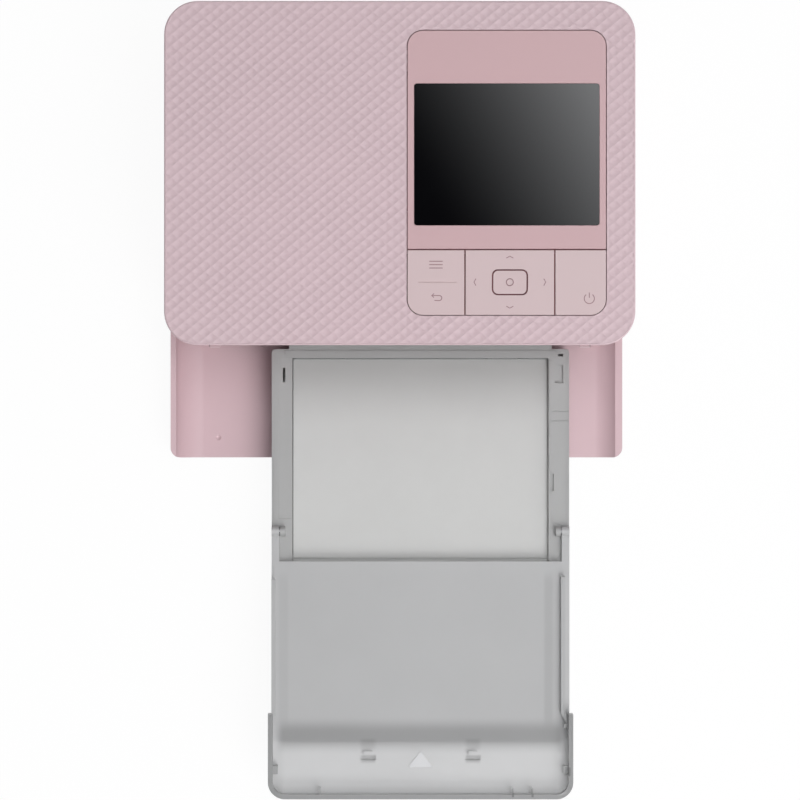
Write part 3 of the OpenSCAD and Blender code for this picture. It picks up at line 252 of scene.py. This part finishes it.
def buildPaintedLightShade(name, cfg):
    # Painted shade and painted light in the smoky plastic's colour: darker along tall walls, where the tray's
    # walls stand close below it and in painted shadows and recesses, lighter where a band lightens it
    group, given, out = startGroup(name, [("Color", "NodeSocketColor", (0.5, 0.5, 0.5, 1))],
                                   [("Color", "NodeSocketColor")])
    place = group.nodes.new("ShaderNodeSeparateXYZ")
    group.links.new(group.nodes.new("ShaderNodeTexCoord").outputs["Object"], place.inputs[0])
    dark = 0.0
    if "rise" in cfg:
        start, end, amount = cfg["rise"]
        dark = rampNode(group, place.outputs["Z"], start, end, 0.0, amount)
    for band in cfg["bands"]:
        mask = lineMath(group, "MULTIPLY", softBand(group, place.outputs["X"], *band["x"]),
                        softBand(group, place.outputs["Y"], *band["y"]))
        dark = lineMath(group, "ADD", dark, lineMath(group, "MULTIPLY", mask, band["amount"]))
    left = lineMath(group, "SUBTRACT", 1.0, dark)
    group.links.new(tint(group, given.outputs["Color"], left), out.inputs["Color"])
    return group


mouldGrain = buildMouldGrain()
coverLightShadeGroup = buildPaintedLightShade("CoverPaintedLightShade", coverPaintedLightShade)
lidShadeGroup = buildPaintedLightShade("LidPaintedShade", lidPaintedShade)
brushedGrain = buildBrushedGrain()
dustFilm = buildDust()
print("node groups ready")


# Materials

def surface(name, group, colour, rough, grain, depth, extra=None, sockets=None, dust=0.0, tone=None):
    # extra goes to the group's own inputs, sockets to the shader's, and tone is one of the groups that paint
    # shade and light into the smoky plastic's colour
    mat = bpy.data.materials.new(name)
    mat.use_nodes = True
    tree = mat.node_tree
    shader = tree.nodes["Principled BSDF"]
    skin = tree.nodes.new("ShaderNodeGroup")
    skin.node_tree = group
    skin.inputs["Color"].default_value = colour
    skin.inputs["Roughness"].default_value = rough
    skin.inputs["GrainScale"].default_value = grain
    for key, value in (extra or {}).items():
        skin.inputs[key].default_value = value
    bump = tree.nodes.new("ShaderNodeBump")
    bump.inputs["Strength"].default_value = grainLook["bump"]
    bump.inputs["Distance"].default_value = depth
    tree.links.new(skin.outputs["Height"], bump.inputs["Height"])
    tree.links.new(bump.outputs["Normal"], shader.inputs["Normal"])
    last = skin
    if dust:
        last = tree.nodes.new("ShaderNodeGroup")
        last.node_tree = dustFilm
        last.inputs["Amount"].default_value = dust
        tree.links.new(skin.outputs["Color"], last.inputs["Color"])
        tree.links.new(skin.outputs["Roughness"], last.inputs["Roughness"])
    painted = last.outputs["Color"]
    if tone:
        # The tone group paints shade and light into the base colour
        paintedLightShadeNode = tree.nodes.new("ShaderNodeGroup")
        paintedLightShadeNode.node_tree = tone
        tree.links.new(painted, paintedLightShadeNode.inputs["Color"])
        painted = paintedLightShadeNode.outputs["Color"]
    tree.links.new(painted, shader.inputs["Base Color"])
    tree.links.new(last.outputs["Roughness"], shader.inputs["Roughness"])
    for key, value in (sockets or {}).items():
        shader.inputs[key].default_value = value
    return mat


clear = {"Transmission Weight": 0.4, "IOR": 1.49}
metal = {"Metallic": 1.0}
mould, brush = mouldGrain, brushedGrain
finishes = {
    "pinkShell": surface("pinkShell", mould, shade(204, 176, 181), 0.44, 2400, 0.00002, {"Mottle": 0.015}),
    "pinkRelief": surface("pinkRelief", mould, shade(203, 179, 184), 0.42, 2600, 0.000008, {"Mottle": 0.02}),
    "pinkBezel": surface("pinkBezel", mould, shade(196, 162, 165), 0.38, 3200, 0.000008, {"Mottle": 0.012}),
    "pinkKey": surface("pinkKey", mould, shade(202, 180, 181), 0.38, 3200, 0.000008, {"Mottle": 0.012}),
    "keyInk": surface("keyInk", mould, shade(150, 118, 122), 0.5, 3000, 0.000005),
    "gapShade": surface("gapShade", mould, shade(150, 92, 98), 0.6, 3000, 0.000005),
    "paleMark": surface("paleMark", mould, shade(207, 207, 208), 0.5, 3000, 0.000005),
    # The tray, frame, lid and cover are one smoky plastic: their different colours are painted shade and
    # painted light, lightest on the lid and darkest on the tray
    "smokeTray": surface("smokeTray", mould, shade(190, 190, 188), 0.38, 1500, 0.00001,
                         {"Mottle": 0.015}, clear, dust=0.04),
    "smokeFrame": surface("smokeFrame", mould, shade(196, 196, 195), 0.36, 1500, 0.00001,
                          {"Mottle": 0.015}, clear, dust=0.04),
    "smokeLid": surface("smokeLid", mould, shade(230, 230, 228), 0.42, 1500, 0.00001,
                        {"Mottle": 0.015}, clear, dust=0.05, tone=lidShadeGroup),
    "smokeCover": surface("smokeCover", mould, shade(208, 208, 208), 0.36, 1500, 0.00001,
                          {"Mottle": 0.015}, clear, dust=0.04, tone=coverLightShadeGroup),
    "paleGear": surface("paleGear", mould, shade(226, 226, 220), 0.38, 1800, 0.00001),
    "blackPart": surface("blackPart", mould, shade(42, 42, 44), 0.5, 2000, 0.00001, dust=0.05),
    "rubber": surface("rubber", mould, shade(44, 44, 44), 0.72, 3200, 0.00003, {"Mottle": 0.08}, dust=0.08),
    "board": surface("board", mould, shade(40, 96, 62), 0.35, 900, 0.00001, {"Mottle": 0.06}),
    "film": surface("film", mould, shade(120, 46, 84), 0.22, 1200, 0.000003),
    "steel": surface("steel", brush, shade(200, 201, 203), 0.3, 1400, 0.000006, None, metal),
    "alu": surface("alu", brush, shade(214, 215, 216), 0.34, 1100, 0.00001, None, metal),
    "screen": surface("screen", mould, shade(7, 7, 9), 0.03, 400, 0.0000003, {"Mottle": 0.02}),
}
cadFinish = {
    "case_pink": "pinkShell", "key_pink": "pinkKey", "screen": "screen", "cassette_smoke": "smokeTray",
    "inner_white": "paleGear", "inner_dark": "blackPart", "sheet_steel": "steel", "heat_sink_alu": "alu",
    "rubber_black": "rubber", "board_green": "board", "ribbon_film": "film",
}
finishOf = {row["node"]: cadFinish[row["material_slot"]] for row in frame["record"]["subparts"]}
finishOf.update({"display_bezel": "pinkBezel", "cassette_frame": "smokeFrame", "inner_lid": "smokeLid",
                 "outer_cover": "smokeCover"})
slotOf = {row["node"]: row["material_slot"] for row in frame["record"]["subparts"]}
bodyOf = {node: body for body, nodes in frame["record"]["behaviour"]["bodies"].items() for node in nodes}
for node, obj in frame["nodes"].items():
    obj.data.materials.clear()
    obj.data.materials.append(finishes[finishOf[node]])
print("materials on", len(frame["nodes"]), "nodes")


# Helpers for new pieces. Points nearer than weld or cut are one, and faces flatter than flatAngle are one.

clean = {"weld": 1e-6, "cut": 1e-7, "flatAngle": 1.0}
rounding = {"from": 35, "steps": 3}


def finishPiece(bm, name, finish, body, nodes=(), smooth=30):
    mesh = bpy.data.meshes.new(name)
    bm.to_mesh(mesh)
    bm.free()
    mesh.materials.append(finishes[finish])
    if smooth:
        mesh.shade_smooth()
        mesh.set_sharp_from_angle(angle=math.radians(smooth))
    obj = bpy.data.objects.new(name, mesh)
    if smooth:
        obj.modifiers.new("evenNormals", "WEIGHTED_NORMAL").keep_sharp = True
    bpy.context.collection.objects.link(obj)
    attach(obj, body)
    if nodes:
        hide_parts(*nodes)


def nodeCopy(node):
    bm = bmesh.new()
    bm.from_mesh(frame["nodes"][node].data)
    bmesh.ops.remove_doubles(bm, verts=bm.verts, dist=clean["weld"])
    flat = math.radians(clean["flatAngle"])
    bmesh.ops.dissolve_limit(bm, angle_limit=flat, verts=bm.verts, edges=bm.edges)
    return bm


def softenEdges(bm, width):
    least = math.radians(rounding["from"])
    sharp = [e for e in bm.edges if len(e.link_faces) == 2 and e.calc_face_angle(0) > least]
    bmesh.ops.bevel(bm, geom=sharp, offset=width, offset_type="OFFSET", segments=rounding["steps"],
                    profile=0.5, affect="EDGES", clamp_overlap=True, material=-1)


notchFit = {"gap": 0.4 * mm, "near": 0.02 * mm, "back": 0.3 * mm, "inward": 0.2 * mm, "middle": 74 * mm}


def closeNotches(bm, cfg):
    # The ends of the hinge notches come closer round the lugs, so that no floor shows in front of the body
    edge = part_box("top_cover")[0].y - cfg["gap"]
    for v in bm.verts:
        if abs(v.co.y - edge) < cfg["near"]:
            way = 1 if (abs(v.co.x) < cfg["middle"]) == (v.co.x > 0) else -1
            v.co += Vector((way * cfg["inward"], cfg["back"], 0))


def softened(node, width):
    bm = nodeCopy(node)
    if node == "front_cover":
        closeNotches(bm, notchFit)
    softenEdges(bm, width)
    finishPiece(bm, node + "Soft", finishOf[node], bodyOf[node], (node,))


def loft(points, depth, z):
    # A flat outline raised into a thin plate with its top at z
    bm = bmesh.new()
    face = bm.faces.new([bm.verts.new((x, y, z - depth)) for x, y in points])
    raised = bmesh.ops.extrude_face_region(bm, geom=[face])["geom"]
    topPoints = [v for v in raised if isinstance(v, bmesh.types.BMVert)]
    bmesh.ops.translate(bm, verts=topPoints, vec=(0, 0, depth))
    bmesh.ops.recalc_face_normals(bm, faces=bm.faces)
    return bm


# Top cover with its relief: a lattice of shallow dishes that meet in sharp ridges

# shift puts the lattice where it lies in the picture, and letIn is how deep the shell's top makes room for it
relief = {
    "stepX": 2.595 * mm, "stepY": 2.133 * mm, "shift": (2.57 * mm, 0.2 * mm),
    "tiles": 72, "fine": 4, "start": 1e-4, "ridge": 0.01,
    "dish": 0.28 * mm, "under": 0.25 * mm, "letIn": 0.36 * mm, "flush": 0.08 * mm,
    "inset": 0.45 * mm, "corner": 13 * mm, "seam": 0.32 * mm, "panelCorner": 6 * mm, "arcSteps": 7,
    "slack": 6 * mm, "reach": 9 * mm, "level": 1e-5,
}


def roundedLoop(low, high, r, steps):
    # Points and outward normals round a rounded rectangle, one for each short side of its outline
    cuts = [((high.x, 0, 0), (1, 0, 0)), ((low.x, 0, 0), (-1, 0, 0)),
            ((0, high.y, 0), (0, 1, 0)), ((0, low.y, 0), (0, -1, 0))]
    for sx, sy in ((1, 1), (1, -1), (-1, 1), (-1, -1)):
        centre = Vector(((high.x - r) if sx > 0 else (low.x + r), (high.y - r) if sy > 0 else (low.y + r), 0))
        for k in range(steps):
            a = math.radians(90 * (k + 0.5) / steps)
            out = Vector((sx * math.cos(a), sy * math.sin(a), 0))
            cuts.append((centre + out * r * math.cos(math.radians(45 / steps)), out))
    return cuts


def latticeSheet(cfg, middle, top):
    # A square grid sheared into rhombs; each rhomb sinks in the middle, and its border stays sharp
    bm = bmesh.new()
    cells = cfg["tiles"] * cfg["fine"]
    bmesh.ops.create_grid(bm, x_segments=cells, y_segments=cells, size=cfg["tiles"] / 2)
    for v in bm.verts:
        u, w = (c - math.floor(c + cfg["start"]) for c in (v.co.x, v.co.y))
        v.co.z = -cfg["dish"] * 16 * u * (1 - u) * w * (1 - w)  # 1 times the dish in the middle of a tile
    ridge = cfg["dish"] * cfg["ridge"]
    for f in bm.faces:
        f.smooth = True
    for e in bm.edges:
        e.smooth = min(v.co.z for v in e.verts) < -ridge
    shear = Matrix(((cfg["stepX"], cfg["stepX"], 0, 0), (-cfg["stepY"], cfg["stepY"], 0, 0),
                    (0, 0, 1, 0), (0, 0, 0, 1)))
    bmesh.ops.transform(bm, matrix=shear, verts=bm.verts)
    bmesh.ops.translate(bm, verts=bm.verts, vec=(middle.x + cfg["shift"][0], middle.y + cfg["shift"][1], top))
    return bm


def within(c, low, high, more):
    return low.x - more < c.x < high.x + more and low.y - more < c.y < high.y + more


def dropFar(bm, outer, hole, slack):
    # Faces well outside the cover, or well inside the panel's opening, needn't be cut
    far = []
    for f in bm.faces:
        c = f.calc_center_median()
        if not within(c, *outer, slack) or within(c, *hole, -slack):
            far.append(f)
    bmesh.ops.delete(bm, geom=far, context="FACES")


def cutOutline(bm, cuts):
    for at, out in cuts:
        everything = bm.verts[:] + bm.edges[:] + bm.faces[:]
        bmesh.ops.bisect_plane(bm, geom=everything, dist=clean["cut"], plane_co=at, plane_no=out,
                               clear_outer=True)


def cutHole(bm, cuts, hole, reach):
    # Each cut only parts the faces near it, and then all that lies inside every cut goes
    for at, out in cuts:
        near = []
        for f in bm.faces:
            c = f.calc_center_median()
            if within(c, *hole, reach) and abs((c - Vector(at)).dot(Vector(out))) < reach:
                near.append(f)
        edges = dict.fromkeys(e for f in near for e in f.edges)
        points = dict.fromkeys(v for f in near for v in f.verts)
        geom = near + list(edges) + list(points)
        bmesh.ops.bisect_plane(bm, geom=geom, dist=clean["cut"], plane_co=at, plane_no=out)
    inside = []
    for f in bm.faces:
        c = f.calc_center_median()
        if all((c - Vector((at[0], at[1], c.z))).dot(Vector(out)) < 0 for at, out in cuts):
            inside.append(f)
    bmesh.ops.delete(bm, geom=inside, context="FACES")


def closeSheet(bm, edgeHeight, floorHeight):
    # The border runs out level, and the sheet gets walls and a flat underside
    border = [e for e in bm.edges if e.is_boundary]
    for v in {v for e in border for v in e.verts}:
        v.co.z = edgeHeight
    wall = bmesh.ops.extrude_edge_only(bm, edges=border)["geom"]
    for v in wall:
        if isinstance(v, bmesh.types.BMVert):
            v.co.z = floorHeight
    rim = [e for e in wall if isinstance(e, bmesh.types.BMEdge) and e.is_boundary]
    bmesh.ops.triangle_fill(bm, use_beauty=True, use_dissolve=False, edges=rim, normal=(0, 0, -1))
    bmesh.ops.recalc_face_normals(bm, faces=bm.faces)
    for f in bm.faces:
        f.smooth = f.normal.z > 0.5


def buildTopCover(cfg):
    low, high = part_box("top_cover")
    panelLow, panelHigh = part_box("display_bezel")
    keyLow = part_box("menu_button")[0]
    top, inset, seam = high.z, cfg["inset"], cfg["seam"]
    outer = (Vector((low.x + inset, low.y + inset, 0)), Vector((high.x - inset, high.y - inset, 0)))
    hole = (Vector((panelLow.x, keyLow.y, 0)) - Vector((1, 1, 0)) * seam,
            Vector((panelHigh.x, panelHigh.y, 0)) + Vector((1, 1, 0)) * seam)

    bm = latticeSheet(cfg, (low + high) / 2, top)
    dropFar(bm, outer, hole, cfg["slack"])
    cutOutline(bm, roundedLoop(*outer, cfg["corner"] - inset, cfg["arcSteps"]))
    cutHole(bm, roundedLoop(*hole, cfg["panelCorner"] + seam, cfg["arcSteps"]), hole, cfg["reach"])
    closeSheet(bm, top - cfg["flush"], top - cfg["dish"] - cfg["under"])
    body, slotName = bodyOf["top_cover"], slotOf["top_cover"]
    finishPiece(bm, "topRelief", "pinkRelief", body, smooth=0)

    # The shell under it: the CAD solid with its flat top let in, so that the relief lies in it
    shell = nodeCopy("top_cover")
    flat = [v for v in shell.verts if v.co.z > top - cfg["level"]]
    bmesh.ops.translate(shell, verts=flat, vec=(0, 0, -cfg["letIn"]))
    finishPiece(shell, "topCover", "pinkRelief", body, ("top_cover",), smooth=20)


buildTopCover(relief)
print("top cover ready")


# Mouldings whose edges are softened on a copy of their node

softEdges = {
    "side_case": 0.35, "base_case": 0.3, "front_cover": 0.5, "ink_door": 0.4, "display_bezel": 0.12,
    "menu_button": 0.12, "nav_pad": 0.12, "ok_button": 0.14, "power_button": 0.12, "front_panel": 0.25,
    "cassette_tray": 0.3, "cassette_frame": 0.3, "inner_lid": 0.3, "outer_cover": 0.35,
}
for node, width in softEdges.items():
    softened(node, width * mm)
print("mouldings ready:", len(softEdges))


# A thin lip along the front edge of the lid closes the view down between lid and outer cover

lidLip = {"reach": 1.45 * mm, "overlap": 0.25 * mm, "side": 2 * mm, "top": 17.4 * mm, "depth": 0.5 * mm}


def buildLidLip(cfg):
    low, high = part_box("inner_lid")
    left, right = low.x + cfg["side"], high.x - cfg["side"]
    front, back = low.y - cfg["reach"], low.y + cfg["overlap"]
    plate = loft([(left, front), (right, front), (right, back), (left, back)], cfg["depth"], cfg["top"])
    finishPiece(plate, "lidLip", "smokeLid", bodyOf["inner_lid"], smooth=0)


buildLidLip(lidLip)
print("lid lip ready")


# Marks on the keys: thin lines of ink that stand a hair above the moulding

marks = {
    "width": 0.36 * mm, "flat": 0.3, "top": 57.5 * mm,
    "bars": {"at": (14.0, 53.8), "length": 5.2, "pitch": 1.3},
    "back": {"at": (14.0, 40.9), "r": 0.95, "length": 2.6, "over": 0.4, "tail": 0.6, "barb": (0.95, 0.76)},
    "arrows": {"out": (42.55, 47.05), "reach": (13.1, 9.3), "half": 1.35, "rise": 0.75},
    "ring": {"at": (42.55, 47.0), "r": 1.35, "sides": 18},
    "power": {"at": (73.25, 40.7), "r": 1.95, "gap": 38, "steps": 28, "foot": 0.3, "head": 0.35},
}


def arcPoints(at, r, start, end, steps=18):
    turns = [math.radians(start + (end - start) * k / steps) for k in range(steps + 1)]
    return [(at[0] + r * math.cos(t), at[1] + r * math.sin(t)) for t in turns]


def inkLines(name, body, lines, finish="keyInk", width=None, top=None):
    # Each line is (points, closed); all of them become one mesh
    width, top = width or marks["width"], top or marks["top"]
    curve = bpy.data.curves.new(name, "CURVE")
    curve.dimensions = "3D"
    curve.bevel_depth = width / 2
    curve.bevel_resolution = 2
    curve.use_fill_caps = True
    for points, closed in lines:
        spline = curve.splines.new("POLY")
        spline.points.add(len(points) - 1)
        for point, (x, y) in zip(spline.points, points):
            point.co = (x * mm, y * mm, top, 1)
        spline.use_cyclic_u = closed
    holder = bpy.data.objects.new(name + "Line", curve)
    bm = bmesh.new()
    bm.from_mesh(holder.to_mesh())
    bpy.data.objects.remove(holder)
    squash = Matrix.Diagonal((1, 1, marks["flat"], 1))
    bmesh.ops.transform(bm, matrix=squash, verts=bm.verts, space=Matrix.Translation((0, 0, -top)))
    bmesh.ops.remove_doubles(bm, verts=bm.verts, dist=clean["cut"])
    bmesh.ops.recalc_face_normals(bm, faces=bm.faces)
    finishPiece(bm, name, finish, body)


def buildMarks(cfg):
    x, y = cfg["bars"]["at"]
    half, pitch = cfg["bars"]["length"] / 2, cfg["bars"]["pitch"]
    bars = [([(x - half, y + k * pitch), (x + half, y + k * pitch)], False) for k in (-1, 0, 1)]
    # Return arrow: a shaft, a half turn and a barbed tip
    back = cfg["back"]
    x, y = back["at"]
    r, half = back["r"], back["length"] / 2
    bx, by = back["barb"]
    tip = (x - half - back["over"], y + r)
    hook = [tip, (x + half, y + r)] + arcPoints((x + half, y), r, 90, -90) + [(x - back["tail"], y - r)]
    head = [(tip[0] + bx, tip[1] + by), tip, (tip[0] + bx, tip[1] - by)]
    inkLines("menuMarks", "menu_key", bars + [(hook, False), (head, False)])

    arrows = cfg["arrows"]
    cx, cy = arrows["out"]
    h, rise = arrows["half"], arrows["rise"]
    lines = []
    for turn in range(4):
        reach = arrows["reach"][turn % 2]
        ca, sa = round(math.cos(math.pi / 2 * turn)), round(math.sin(math.pi / 2 * turn))
        shape = [(reach, -h), (reach + rise, 0), (reach, h)]
        lines.append(([(cx + u * ca - v * sa, cy + u * sa + v * ca) for u, v in shape], False))
    inkLines("cursorMarks", "nav_key", lines)

    ring = cfg["ring"]
    side = 360 / ring["sides"]
    circle = arcPoints(ring["at"], ring["r"], 0, 360 - side, ring["sides"] - 1)
    inkLines("centreMark", "ok_key", [(circle, True)])

    power = cfg["power"]
    (x, y), r, gap = power["at"], power["r"], power["gap"]
    bow = arcPoints((x, y), r, 90 + gap, 450 - gap, power["steps"])
    bar = [(x, y + power["foot"]), (x, y + r + power["head"])]
    inkLines("powerMark", "power_key", [(bow, False), (bar, False)])


gapLine = {
    "width": 0.3 * mm, "seamWidth": 0.1 * mm, "top": 56.5 * mm,
    "half": 0.25, "seam": 0.21, "okCorner": 1.8, "panelCorner": 6.0, "arcSteps": 8,
}


def roundedPath(low, high, r, out, steps):
    # Closed line at a distance outside a rounded rectangle
    points = []
    for k, (x, y) in enumerate(((high.x - r, high.y - r), (low.x + r, high.y - r),
                                (low.x + r, low.y + r), (high.x - r, low.y + r))):
        points += arcPoints((x, y), r + out, 90 * k, 90 * (k + 1), steps)
    return points


def buildGaps(cfg):
    # Pink-brown strips down in the gaps between the keys and round the panel: painted shade standing for the
    # shaded gaps
    low, menuHigh = (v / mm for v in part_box("menu_button"))
    navLow, navHigh = (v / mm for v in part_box("nav_pad"))
    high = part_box("display_bezel")[1] / mm
    h = cfg["half"]
    level = menuHigh.y + h
    lines = [([(low.x, level), (high.x, level)], False)]
    for x in (navLow.x - h, navHigh.x + h):
        lines.append(([(x, low.y), (x, level)], False))
    okLow, okHigh = (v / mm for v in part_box("ok_button"))
    lines.append((roundedPath(okLow, okHigh, cfg["okCorner"], h, cfg["arcSteps"]), True))
    inkLines("gapStrips", "printer", lines, "gapShade", cfg["width"], cfg["top"])
    seam = [(roundedPath(low, high, cfg["panelCorner"], cfg["seam"], cfg["arcSteps"]), True)]
    inkLines("seamStrip", "printer", seam, "gapShade", cfg["seamWidth"], cfg["top"])


buildMarks(marks)
buildGaps(gapLine)
print("marks ready")


# The lighter triangle on the cassette cover that shows which way it goes in

openMark = {
    "x": 8.2 * mm, "half": 4.8 * mm, "base": -143.7 * mm, "tip": -137.5 * mm,
    "depth": 0.06 * mm, "top": 22.53 * mm,
}


def buildOpenMark(cfg):
    x, half, base = cfg["x"], cfg["half"], cfg["base"]
    plate = loft([(x - half, base), (x + half, base), (x, cfg["tip"])], cfg["depth"], cfg["top"])
    finishPiece(plate, "openMark", "paleMark", bodyOf["outer_cover"], smooth=0)


buildOpenMark(openMark)


# Camera, lamps and floor

view = {"at": (0.0001, 0.0015, 1.5576), "lens": 174.7, "sensor": 36, "far": 20}
keyPanel = {"at": (0.56, -0.88, 1.08), "size": 0.8, "power": 11.4}
paleFloor = {"half": 3.0, "tone": (0.9, 0.9, 0.9), "rough": 0.9, "shine": 0.1, "white": 0.94}
sky = {
    "tone": (0.97, 0.98, 1.0), "level": 0.41, "flag": 0.013, "flagFrom": 0.12, "flagTo": 0.30,
    "panelRise": 1250.0, "panelLevel": 4.4, "panelFar": (0.32, 0.42), "panelFront": (-0.35, -0.25),
    "panelBack": (0.42, 0.55), "side": (-1.2, 1.2, 0.6, 1.4), "tilt": 0.55, "start": 0.065, "lowest": 0.02,
}


def buildStage(cfg):
    bm = bmesh.new()
    bmesh.ops.create_grid(bm, x_segments=1, y_segments=1, size=cfg["half"])
    mesh = bpy.data.meshes.new("floor")
    bm.to_mesh(mesh)
    bm.free()
    floor = bpy.data.objects.new("floor", mesh)
    bpy.context.collection.objects.link(floor)
    mat = bpy.data.materials.new("paleFloor")
    mat.use_nodes = True
    tree = mat.node_tree
    shader = tree.nodes["Principled BSDF"]
    shader.inputs["Base Color"].default_value = cfg["tone"] + (1,)
    shader.inputs["Roughness"].default_value = cfg["rough"]
    shader.inputs["Specular IOR Level"].default_value = cfg["shine"]
    # What the camera sees is nearly all plain white, so that only a faint shadow is left
    light = tree.nodes.new("ShaderNodeLightPath")
    seen = lineMath(tree, "MAXIMUM", light.outputs["Is Camera Ray"], light.outputs["Is Glossy Ray"])
    seen = lineMath(tree, "MAXIMUM", seen, light.outputs["Is Transmission Ray"])
    white = tree.nodes.new("ShaderNodeEmission")
    mix = tree.nodes.new("ShaderNodeMixShader")
    tree.links.new(lineMath(tree, "MULTIPLY", seen, cfg["white"]), mix.inputs[0])
    tree.links.new(shader.outputs[0], mix.inputs[1])
    tree.links.new(white.outputs[0], mix.inputs[2])
    tree.links.new(mix.outputs[0], tree.nodes["Material Output"].inputs["Surface"])
    mesh.materials.append(mat)


def buildLamp(name, cfg):
    light = bpy.data.lights.new(name, "AREA")
    light.shape = "SQUARE"
    light.size = cfg["size"]
    light.energy = cfg["power"]
    lamp = bpy.data.objects.new(name, light)
    lamp.location = cfg["at"]
    lamp.rotation_euler = (-Vector(cfg["at"])).to_track_quat("-Z", "Y").to_euler()
    bpy.context.collection.objects.link(lamp)


def buildSky(cfg):
    # Even light from all round, a black flag overhead, and a soft panel to the right of it
    world = bpy.data.worlds.new("studio")
    world.use_nodes = True
    bpy.context.scene.world = world
    tree = world.node_tree
    back = tree.nodes["Background"]
    way = tree.nodes.new("ShaderNodeSeparateXYZ")
    tree.links.new(tree.nodes.new("ShaderNodeTexCoord").outputs["Generated"], way.inputs[0])
    up = lineMath(tree, "MAXIMUM", way.outputs["Z"], cfg["lowest"])
    sx = lineMath(tree, "DIVIDE", way.outputs["X"], up)
    sy = lineMath(tree, "DIVIDE", way.outputs["Y"], up)
    squares = lineMath(tree, "ADD", lineMath(tree, "MULTIPLY", sx, sx), lineMath(tree, "MULTIPLY", sy, sy))
    off = lineMath(tree, "POWER", squares, 0.5)
    even = rampNode(tree, off, cfg["flagFrom"], cfg["flagTo"], cfg["flag"], cfg["level"])
    even = lineMath(tree, "MULTIPLY", even, rampNode(tree, sx, *cfg["side"]))
    slant = lineMath(tree, "MULTIPLY", lineMath(tree, "SUBTRACT", sy, cfg["start"]), cfg["tilt"])
    across = lineMath(tree, "MAXIMUM", lineMath(tree, "ADD", sx, slant), 0.0)
    panel = lineMath(tree, "MULTIPLY", lineMath(tree, "MULTIPLY", across, across), cfg["panelRise"])
    panel = lineMath(tree, "MINIMUM", panel, cfg["panelLevel"])
    panel = lineMath(tree, "MULTIPLY", panel, rampNode(tree, across, *cfg["panelFar"], 1.0, 0.0))
    panel = lineMath(tree, "MULTIPLY", panel, rampNode(tree, sy, *cfg["panelFront"], 0.0, 1.0))
    panel = lineMath(tree, "MULTIPLY", panel, rampNode(tree, sy, *cfg["panelBack"], 1.0, 0.0))
    back.inputs["Color"].default_value = cfg["tone"] + (1,)
    # Behind the floor the camera sees plain white too
    light = tree.nodes.new("ShaderNodeLightPath")
    seen = lineMath(tree, "MAXIMUM", light.outputs["Is Camera Ray"], light.outputs["Is Transmission Ray"])
    strength = lineMath(tree, "MAXIMUM", lineMath(tree, "ADD", even, panel), seen)
    tree.links.new(strength, back.inputs["Strength"])


def buildCamera(cfg):
    data = bpy.data.cameras.new("above")
    data.sensor_width = cfg["sensor"]
    data.lens = cfg["lens"]
    data.clip_end = cfg["far"]
    camera = bpy.data.objects.new("above", data)
    camera.location = cfg["at"]
    bpy.context.collection.objects.link(camera)
    bpy.context.scene.camera = camera


buildStage(paleFloor)
buildLamp("keyPanel", keyPanel)
buildSky(sky)
buildCamera(view)
bpy.context.scene.view_settings.view_transform = "Standard"
print("stage ready")
